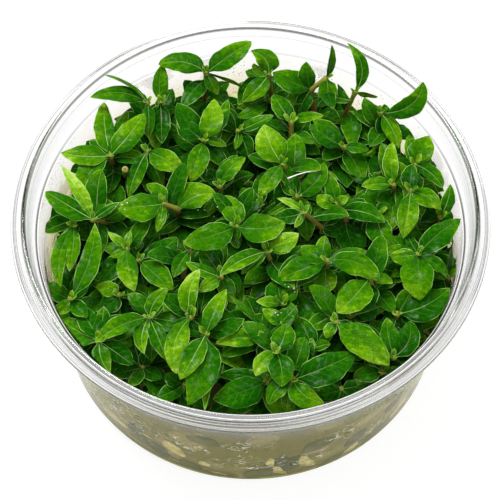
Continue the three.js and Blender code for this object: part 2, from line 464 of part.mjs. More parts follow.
// Whorls, each leaf with the first length and rise that are free
const whorls = stems.map((points, number) => {
  const [low, foot] = points.slice(-2);
  const along = foot.clone().sub(low).normalize();
  const places = Math.hypot(low.x, low.y) > OUTER ? WHORL_PLACES : WHORL_PLACES.slice(0, 1);
  return places.map((share, w) => {
    const centre = low.clone().lerp(foot, share);
    const turn = WHORL_TURN * (scatter(number + 1 + PLANTLETS.length * w) - 0.5);
    const tips = [0, 1, 2, 3].map((k) => {
      const reach = (length, rise) => {
        const level = around(centre, along, (Math.PI / 2) * k + turn, length);
        return keepInside(level.add(new THREE.Vector3(0, 0, rise)));
      };
      for (const length of WHORL_LENGTHS)
        for (const rise of WHORL_RISES) {
          const tip = reach(length, rise);
          const out = tip.clone().sub(centre);
          const side = new THREE.Vector3(-out.y, out.x, 0).setLength((WHORL_LEAF_WIDTH * length) / 2);
          const ring = (t) => {
            const middle = centre.clone().lerp(tip, t);
            return [
              keepInside(middle.clone().add(side)),
              keepInside(middle.clone().sub(side)),
              middle.clone().add(new THREE.Vector3(0, 0, -2 * LEAF_THICKNESS)),
            ];
          };
          const blade = ringSolid(centre, [ring(0.35), ring(0.7)], tip, 3);
          const spread = 1.6 * WHORL_HEIGHT;
          const [above, below] = [-spread, spread].map((d) => centre.clone().addScaledVector(along, d));
          const [before, after] = [-1, 1].map((half) =>
            around(centre, along, (Math.PI / 2) * (k + half / 2) + turn, WAIST + CLEARANCE),
          );
          const arm = ringSolid(centre, [[above, before, below, after]], tip, 4);
          if (!isFree(number, blade) || !isFree(number, arm)) continue;
          hold(number, blade);
          hold(number, arm);
          return tip;
        }
      return reach(WAIST, 0);
    });
    return { centre, tips, turn };
  });
});

// Plantlets: stem, whorls, top leaves and side shoot grown together
PLANTLETS.forEach((_, number) => {
  const stem = stemSolid(stems[number], whorls[number]);
  const grown = [...topLeaves[number], ...sideShoots[number]];
  const mesh = grown.reduce((whole, piece) => whole.add(piece), stem).simplify(SMALLEST_EDGE).getMesh();
  const geometry = new THREE.BufferGeometry();
  geometry.setAttribute("position", new THREE.BufferAttribute(mesh.vertProperties, 3));
  geometry.setIndex(new THREE.BufferAttribute(mesh.triVerts, 1));
  addPiece("plantlet_" + String(number + 1).padStart(2, "0"), geometry, 0x4f9a17, 0.55);
});

export default root;
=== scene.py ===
import bpy
import numpy as np
from mathutils import Matrix, Vector


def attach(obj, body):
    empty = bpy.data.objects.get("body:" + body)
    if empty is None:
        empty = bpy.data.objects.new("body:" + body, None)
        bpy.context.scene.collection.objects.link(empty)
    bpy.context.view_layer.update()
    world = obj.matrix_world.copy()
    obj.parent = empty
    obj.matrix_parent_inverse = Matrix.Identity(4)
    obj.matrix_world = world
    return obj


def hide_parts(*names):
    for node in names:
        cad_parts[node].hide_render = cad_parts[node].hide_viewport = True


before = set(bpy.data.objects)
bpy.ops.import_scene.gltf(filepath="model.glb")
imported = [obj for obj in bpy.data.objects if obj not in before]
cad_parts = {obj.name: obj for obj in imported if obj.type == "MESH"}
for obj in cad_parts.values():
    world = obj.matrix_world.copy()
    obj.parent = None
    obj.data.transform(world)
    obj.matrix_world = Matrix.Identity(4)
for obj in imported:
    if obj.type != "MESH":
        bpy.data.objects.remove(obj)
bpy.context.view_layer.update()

# The cup stands on a plain white surface in soft daylight from above. The camera looks down at it
# from the front, as a buyer would, about sixty degrees above the table.
MM = 0.001
EYE = np.array((0.0, -225.8, 419.9))  # the camera's place, in mm
AIM = np.array((0.0, 0.0, 30.7))
LENS = 149.58
SHIFT = -0.001


def look_from(place, aim):
    """The turn that points an object's -Z axis from place to aim, with +Y kept upward in the view."""
    return Vector(aim - place).to_track_quat("-Z", "Y").to_matrix().to_4x4()


camera = bpy.data.objects.new("camera", bpy.data.cameras.new("camera"))
camera.data.lens = LENS
camera.data.shift_x = SHIFT
camera.data.clip_start = 0.01
camera.matrix_world = Matrix.Translation(Vector(EYE * MM)) @ look_from(EYE, AIM)
bpy.context.scene.collection.objects.link(camera)
bpy.context.scene.camera = camera
bpy.context.scene.view_settings.view_transform = "Standard"

# The room is bright overhead and behind the cup, and dark behind the camera and to the sides, which
# draws the edges of clear plastic. Two wide soft lights hang in it.


class Socket:
    """A value in a node tree, on which + - * and / add Math nodes."""

    def __init__(self, tree, socket=None):
        self.tree, self.socket = tree, socket

    def fill(self, made, **inputs):
        """Gives a node's sockets, named with _ for a space or by their number after _, values or links."""
        for key, value in inputs.items():
            key = int(key[1:]) if key[0] == "_" else key.replace("_", " ")
            if isinstance(value, Socket):
                self.tree.links.new(value.socket, made.inputs[key])
            else:
                made.inputs[key].default_value = value

    def node(self, kind, settings=None, **inputs):
        """Adds a node of a kind with its settings, then its sockets' values or links; returns the node."""
        made = self.tree.nodes.new(kind)
        for key, value in (settings or {}).items():
            setattr(made, key, value)
        self.fill(made, **inputs)
        return made

    def out(self, made, name=0):
        """A node's output as a value of this tree."""
        return Socket(self.tree, made.outputs[name])

    def math(self, operation, *values):
        """A Math node of the values."""
        inputs = {f"_{i}": value for i, value in enumerate(values)}
        return self.out(self.node("ShaderNodeMath", {"operation": operation}, **inputs))

    def __add__(self, other):
        return self.math("ADD", self, other)

    def __sub__(self, other):
        return self.math("SUBTRACT", self, other)

    def __rsub__(self, other):
        return self.math("SUBTRACT", other, self)

    def __mul__(self, other):
        return self.math("MULTIPLY", self, other)

    def __truediv__(self, other):
        return self.math("DIVIDE", self, other)

    __radd__, __rmul__ = __add__, __mul__

    def root(self):
        """The square root of this."""
        return self.math("SQRT", self)

    def unsigned(self):
        """This without its sign."""
        return self.math("ABSOLUTE", self)

    def at_most(self, limit):
        """The smaller one of this and the limit."""
        return self.math("MINIMUM", self, limit)

    def split(self):
        """The three numbers of a vector."""
        made = self.node("ShaderNodeSeparateXYZ", {}, Vector=self)
        return [self.out(made, k) for k in range(3)]

    def stretched(self, x, y, z):
        """A place with its coordinates multiplied by these."""
        return self.out(self.node("ShaderNodeVectorMath", {"operation": "MULTIPLY"}, _0=self, _1=(x, y, z)))

    def step(self, low, high):
        """0 below low, 1 above high and smooth between them."""
        smooth = {"interpolation_type": "SMOOTHSTEP"}
        return self.out(self.node("ShaderNodeMapRange", smooth, Value=self, From_Min=low, From_Max=high))

    def mixed(self, first, second):
        """The colour first where this is 0 and second where it is 1."""
        return self.out(self.node("ShaderNodeMix", {"data_type": "RGBA"}, _0=self, _6=first, _7=second), 2)

    def ramped(self, stops):
        """The colour at this value between stops of (value, colour)."""
        made = self.node("ShaderNodeValToRGB", {}, Fac=self)
        elements = made.color_ramp.elements
        while len(elements) < len(stops):
            elements.new(0.5)
        for element, (position, color) in zip(elements, stops):
            element.position = position
            element.color = (*color, 1)
        return self.out(made, "Color")


world = bpy.data.worlds.new("studio")
world.use_nodes = True
sky = Socket(world.node_tree)
direction = sky.out(sky.node("ShaderNodeTexCoord"), "Generated")
overhead = sky.node("ShaderNodeVectorMath", {"operation": "DOT_PRODUCT"}, _0=direction, _1=(0, 0.5, 1))
greys = [(0.0, 0.10), (0.06, 0.10), (0.3, 0.16), (0.62, 0.62), (1.0, 0.75)]
sky_color = sky.out(overhead, "Value").ramped([(position, (grey,) * 3) for position, grey in greys])
sky.fill(sky.tree.nodes["Background"], Color=sky_color)
bpy.context.scene.world = world

LIGHT_AIM = np.array((0, 0, 20))
# place and size in mm, power in watts
for name, place, size, power in (
    ("window_light", (-200, 180, 650), 300, 4.4),
    ("front_light", (260, -380, 520), 400, 1.4),
):
    lamp = bpy.data.lights.new(name, "AREA")
    lamp.size = size * MM
    lamp.energy = power
    light = bpy.data.objects.new(name, lamp)
    light.matrix_world = Matrix.Translation(Vector(place) * MM) @ look_from(np.array(place), LIGHT_AIM)
    bpy.context.scene.collection.objects.link(light)


def new_material(name):
    """A material with its Principled BSDF and its tree's starting socket."""
    material = bpy.data.materials.new(name)
    material.use_nodes = True
    return material, material.node_tree.nodes["Principled BSDF"], Socket(material.node_tree)


def noise(start, vector, scale, detail=2.0):
    """Noise from 0 to 1 at a place."""
    return start.out(start.node("ShaderNodeTexNoise", {}, Vector=vector, Scale=scale, Detail=detail))


def object_place(start):
    """The place of a point of the object, in metres."""
    return start.out(start.node("ShaderNodeTexCoord"), "Object")


def mesh_object(name, points, faces, materials):
    """A smooth object at the origin with its place, in mm, in its mesh."""
    mesh = bpy.data.meshes.new(name)
    mesh.from_pydata((np.asarray(points) * MM).tolist(), [], faces)
    mesh.polygons.foreach_set("use_smooth", np.ones(len(mesh.polygons), bool))
    for material in materials:
        mesh.materials.append(material)
    made = bpy.data.objects.new(name, mesh)
    bpy.context.scene.collection.objects.link(made)
    return made


FLOOR_REACH = 2000
floor_material, shader, start = new_material("floor")
start.fill(shader, Base_Color=(0.2, 0.2, 0.2, 1), Roughness=0.9)
start.fill(shader, Emission_Color=(1, 1, 1, 1), Emission_Strength=0.87)
corners = [(x * FLOOR_REACH, y * FLOOR_REACH, 0) for x, y in ((-1, -1), (1, -1), (1, 1), (-1, 1))]
floor = mesh_object("floor", corners, [(0, 1, 2, 3)], [floor_material])

# The cup is vacuum-formed from one sheet of clear plastic: foot, tapering wall, a small step under
# a clear band, and a rolled rim. Breath from the plants has fogged the wall inside, below the step.
RIM_RADIUS = 50.5
RIM_TOP = 47.3
STEP_RADIUS = 45.3
STEP_HEIGHT = 40.5
FOG_TOP = STEP_HEIGHT - 0.7
FOOT_RADIUS = 42.1
FOOT_EDGE = 5.5
WALL = 0.7
AROUND = 160

# [radius, height, fog] from the middle of the foot, out along the underside and back in along the inside;
# the fog lies on the inside, and a thinner share of it is drawn on the outside as well
CUP_PROFILE = [
    (0, 0.9, 0), (20, 0.9, 0), (33.5, 0.9, 0), (34.5, 0.7, 0), (35.4, 0.1, 0), (35.9, 0, 0), (37.7, 0, 0),
    (38.9, 0.15, 0), (40.0, 0.7, 0.95), (40.9, 1.6, 0.95), (41.6, 2.8, 0.95), (41.95, 4.0, 0.9),
    (FOOT_RADIUS, FOOT_EDGE, 0.6), (42.75, 12, 0.4), (43.4, 19, 0.4), (44.1, 26, 0.4), (44.8, 33, 0.4),
    (45.3, 39.0, 0.3), (45.6, 39.9, 0),
    (46.1, 40.4, 0), (46.6, 40.8, 0), (46.8, 41.3, 0), (47.25, 43.2, 0), (47.65, 45.2, 0), (47.85, 46.1, 0),
    (48.1, 46.35, 0), (48.6, 46.1, 0), (49.15, 45.65, 0), (49.55, 45.1, 0), (49.8, 44.6, 0), (50.1, 44.4, 0),
    (50.35, 44.55, 0), (RIM_RADIUS, 45.1, 0), (50.4, 45.5, 0), (50.15, 45.75, 0), (49.95, 45.75, 0),
    (49.8, 45.9, 0), (49.6, 46.15, 0), (49.4, 46.15, 0), (49.15, 46.3, 0), (48.7, 46.7, 0), (48.2, 47.0, 0),
    (47.85, 47.2, 0), (47.6, RIM_TOP, 0), (47.38, 47.2, 0), (47.22, 46.8, 0), (47.05, 46.0, 0),
    (46.75, 44.4, 0), (46.4, 42.6, 0), (46.1, 41.1, 0), (45.8, 40.7, 0), (STEP_RADIUS, 40.4, 0),
    (45.1, 39.9, 1), (44.9, 39.0, 1), (44.1, 33, 1), (43.4, 26, 1), (42.7, 19, 1), (42.05, 12, 1),
    (FOOT_RADIUS - WALL, FOOT_EDGE + 0.1, 1), (41.05, 3.8, 1), (40.4, 2.6, 1), (39.5, 1.8, 1), (38.2, 1.6, 1),
    (20, 1.6, 0), (0, 1.6, 0),
]


def ring_faces(rings, around):
    """Faces over points that are one end, rings one after the other, and the other end: quads between
    rings that follow each other, and a fan of triangles at each end."""
    i, j = np.meshgrid(np.arange(rings - 1), np.arange(around), indexing="ij")
    k = (j + 1) % around
    here, on = 1 + i * around, 1 + (i + 1) * around
    quads = np.stack([here + j, here + k, on + k, on + j], -1).reshape(-1, 4)
    j, k, last_ring = j[0], k[0], 1 + (rings - 1) * around
    first = np.stack([0 * j, k + 1, j + 1], -1)
    last = np.stack([0 * j + last_ring + around, last_ring + j, last_ring + k], -1)
    return quads.tolist() + first.tolist() + last.tolist()


def turned(profile, around):
    """Points and faces of a profile of (radius, height) carried round the axis, both ends on the axis."""
    profile = np.asarray(profile, float)
    angle = np.arange(around) * 2 * np.pi / around
    radii, heights = profile[1:-1, :1], profile[1:-1, 1:]
    rings = np.stack([radii * np.cos(angle), radii * np.sin(angle), heights + 0 * angle], -1)
    points = np.concatenate([[(0, 0, profile[0, 1])], rings.reshape(-1, 3), [(0, 0, profile[-1, 1])]])
    return points, ring_faces(len(rings), around)


def show_blend(start, amount, first, second):
    """The material shows the shader first where the amount is 0 and second where it is 1."""
    blend = start.node("ShaderNodeMixShader", {}, _0=amount, _1=start.out(first), _2=start.out(second))
    start.fill(start.tree.nodes["Material Output"], Surface=start.out(blend))


points, faces = turned([p[:2] for p in CUP_PROFILE], AROUND)
clear_plastic, shader, start = new_material("clear_plastic")
east, north, up = (part * (1 / MM) for part in object_place(start).split())
radius = (east * east + north * north).root()


def painted_line(at, half_width, strength):
    """A thin painted line of the given strength round the cup, at a radius where the plastic turns sharply:
    the dark ones are a painted reflection of the dark room, the light ones a painted highlight.
    """
    return (1 - (radius - at).unsigned().step(half_width * 0.6, half_width * 1.4)) * strength


at_back = north.step(0.0, 35.0)
at_front = 1 - north.step(-38.0, -5.0)
# Painted reflection: dark lines in the plastic's colour where it turns sharply, standing in for the dark room
# mirrored there
painted_outer_lines = painted_line(50.45, 0.10, 0.5) + painted_line(49.65, 0.08, 0.6) + painted_line(49.22, 0.08, 0.6)
painted_outer_lines = painted_outer_lines + (painted_line(50.02, 0.08, 0.6) + painted_line(48.75, 0.10, 0.85)) * at_front
painted_inner_line = painted_line(47.3, 0.14, 1.0) * (1 - 0.9 * at_front)
painted_rim_lines = (painted_outer_lines * (1 - 0.75 * at_back) + painted_inner_line) * up.step(44.0, 44.2)
painted_rim_lines = painted_rim_lines + painted_line(45.5, 0.2, 1.0) * (1 - 0.7 * at_back) * up.step(39.7, 39.9)
tint_and_painted_shade = painted_rim_lines.at_most(1.0).mixed((0.95, 0.95, 0.95, 1), (0.10, 0.10, 0.09, 1))
start.fill(shader, Base_Color=tint_and_painted_shade, Roughness=0.02, IOR=1.45, Specular_IOR_Level=0.3, Transmission_Weight=1.0)

# At the front the crests between those lines, and the lip's slope, catch the light from above; that light is
# a painted highlight, a white diffuse shader mixed in over them
crest_highlights = painted_line(47.45, 0.08, 0.6) + painted_line(48.35, 0.09, 0.7) + painted_line(49.0, 0.06, 0.4)
crest_highlights = crest_highlights + painted_line(49.45, 0.05, 0.35) + painted_line(49.86, 0.05, 0.3) + painted_line(50.25, 0.05, 0.4)
slope_highlight = radius.step(46.9, 47.2) * (1 - radius.step(48.2, 48.6))
painted_highlight = (crest_highlights + slope_highlight * 0.24) * up.step(45.0, 45.4) * at_front
bright = start.node("ShaderNodeBsdfPrincipled", {}, Base_Color=(0.93, 0.93, 0.92, 1), Roughness=0.4)
show_blend(start, painted_highlight.at_most(0.9), shader, bright)

# Below the step the same plastic carries a film of fine drops, denser at the foot, with runs of larger drops.
# Lower down its tint and haze are painted darker and olive, darkest at the foot, as painted shade of the
# plants and gel behind them.
fogged_plastic, shader, start = new_material("fogged_plastic")
place = object_place(start)
up = place.split()[2] * (1 / MM)
# Painted shade: the plastic's tint is darker and olive lower down and darkest at the foot
low = 1 - up.step(23.0, 38.0)
tint_and_painted_shade = low.mixed((0.97, 0.95, 0.92, 1), (0.98, 0.93, 0.46, 1))
tint_and_painted_shade = up.step(1.5, 9.0).mixed((0.62, 0.60, 0.22, 1), tint_and_painted_shade)
start.fill(shader, Base_Color=tint_and_painted_shade, Roughness=0.04, IOR=1.13, Specular_IOR_Level=0.2, Transmission_Weight=1.0)
patches = noise(start, place, 120.0, 3.0).step(0.54, 0.62)
dots = start.node("ShaderNodeTexVoronoi", {}, Vector=place, Scale=1500.0)
dot = (1 - start.out(dots, "Distance").step(0.16, 0.3)) * noise(start, place, 130.0).step(0.5, 0.58)
foot = 1 - up.step(2.5, 7.0)
winding = noise(start, place.stretched(0.4, 0.4, 1.0), 820.0, 1.0)
beaded = noise(start, place, 90.0).step(0.44, 0.52) * up.step(8.0, 11.0) * (1 - up.step(24.0, 30.0))
beaded = beaded * noise(start, place, 420.0, 1.0).step(0.46, 0.54)


def contour(level):
    """A thin winding line where the noise passes a level along a run of drops: at one level its painted
    highlight, at the other its painted dark edge.
    """
    return (1 - (winding - level).unsigned().step(0.010, 0.026)) * beaded


def attribute(start, name, output="Vector"):
    """The mesh's own attribute of this name."""
    return start.out(start.node("ShaderNodeAttribute", {"attribute_name": name}), output)


drop_highlight, drop_shade_edge = contour(0.5), contour(0.555)
# Painted light in the haze: darker and olive lower down and darkest at the foot as painted shade, fine drops
# as dark specks of painted shade, and runs of drops with a white painted highlight and a painted dark edge
haze_color_and_painted_light = low.mixed((1.0, 0.96, 0.97, 1), (0.40, 0.375, 0.06, 1))
haze_color_and_painted_light = (patches * low * 0.7).mixed(haze_color_and_painted_light, (0.74, 0.64, 0.42, 1))
haze_color_and_painted_light = (foot * 0.85).mixed(haze_color_and_painted_light, (0.10, 0.105, 0.02, 1))
haze_color_and_painted_light = (dot * 0.9).mixed(haze_color_and_painted_light, (0.10, 0.10, 0.06, 1))
haze_color_and_painted_light = drop_shade_edge.mixed(haze_color_and_painted_light, (0.04, 0.045, 0.015, 1))
haze_color_and_painted_light = drop_highlight.mixed(haze_color_and_painted_light, (0.95, 0.94, 0.86, 1))
fogged = start.node("ShaderNodeBsdfPrincipled", {}, Base_Color=haze_color_and_painted_light, Roughness=0.5, IOR=1.1)
start.fill(fogged, Specular_IOR_Level=0.0)
fog_here = attribute(start, "fog", "Fac")
amount = fog_here * (0.12 + 0.18 * low + 0.2 * patches + 0.5 * dot + 0.7 * foot)
amount = amount + fog_here.step(0.1, 0.3) * (0.45 * drop_shade_edge + 0.7 * drop_highlight)
show_blend(start, amount, shader, fogged)

cup_shell = mesh_object("cup_shell", points, faces, [clear_plastic, fogged_plastic])
heights = points[np.array([f[:3] for f in faces]), 2].mean(1)
cup_shell.data.polygons.foreach_set("material_index", (heights < FOG_TOP).astype(int))
fog = np.concatenate([[0.0], np.repeat([p[2] for p in CUP_PROFILE[1:-1]], AROUND), [0.0]])
cup_shell.data.attributes.new("fog", "FLOAT", "POINT").data.foreach_set("value", fog.astype(np.float32))
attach(cup_shell, "root")
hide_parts("cup")

# The culture gel is a soft translucent disc, cast in the bottom of the cup while it was liquid, with
# its margin drawn up a little at the wall. It holds the roots.
GEL_TOP = 10.0
GEL_PROFILE = [
    (0, 1.95), (37.5, 1.95), (38.9, 2.2), (39.9, 2.8), (40.55, 3.8), (40.9, 5.0), (41.15, 7.5),
    (41.4, GEL_TOP), (41.0, 9.75), (40.2, 9.6), (38, 9.6), (20, 9.6), (0, 9.6),
]
gel_material, shader, start = new_material("culture_gel")
cloud = noise(start, object_place(start), 60.0, 3.0).step(0.3, 0.7)
color = cloud.mixed((0.14, 0.13, 0.055, 1), (0.26, 0.24, 0.11, 1))
start.fill(shader, Base_Color=color, Roughness=0.5, Specular_IOR_Level=0.1)
points, faces = turned(GEL_PROFILE, AROUND)
gel = mesh_object("gel_disc", points, faces, [gel_material])
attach(gel, "root")
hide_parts("culture_gel")

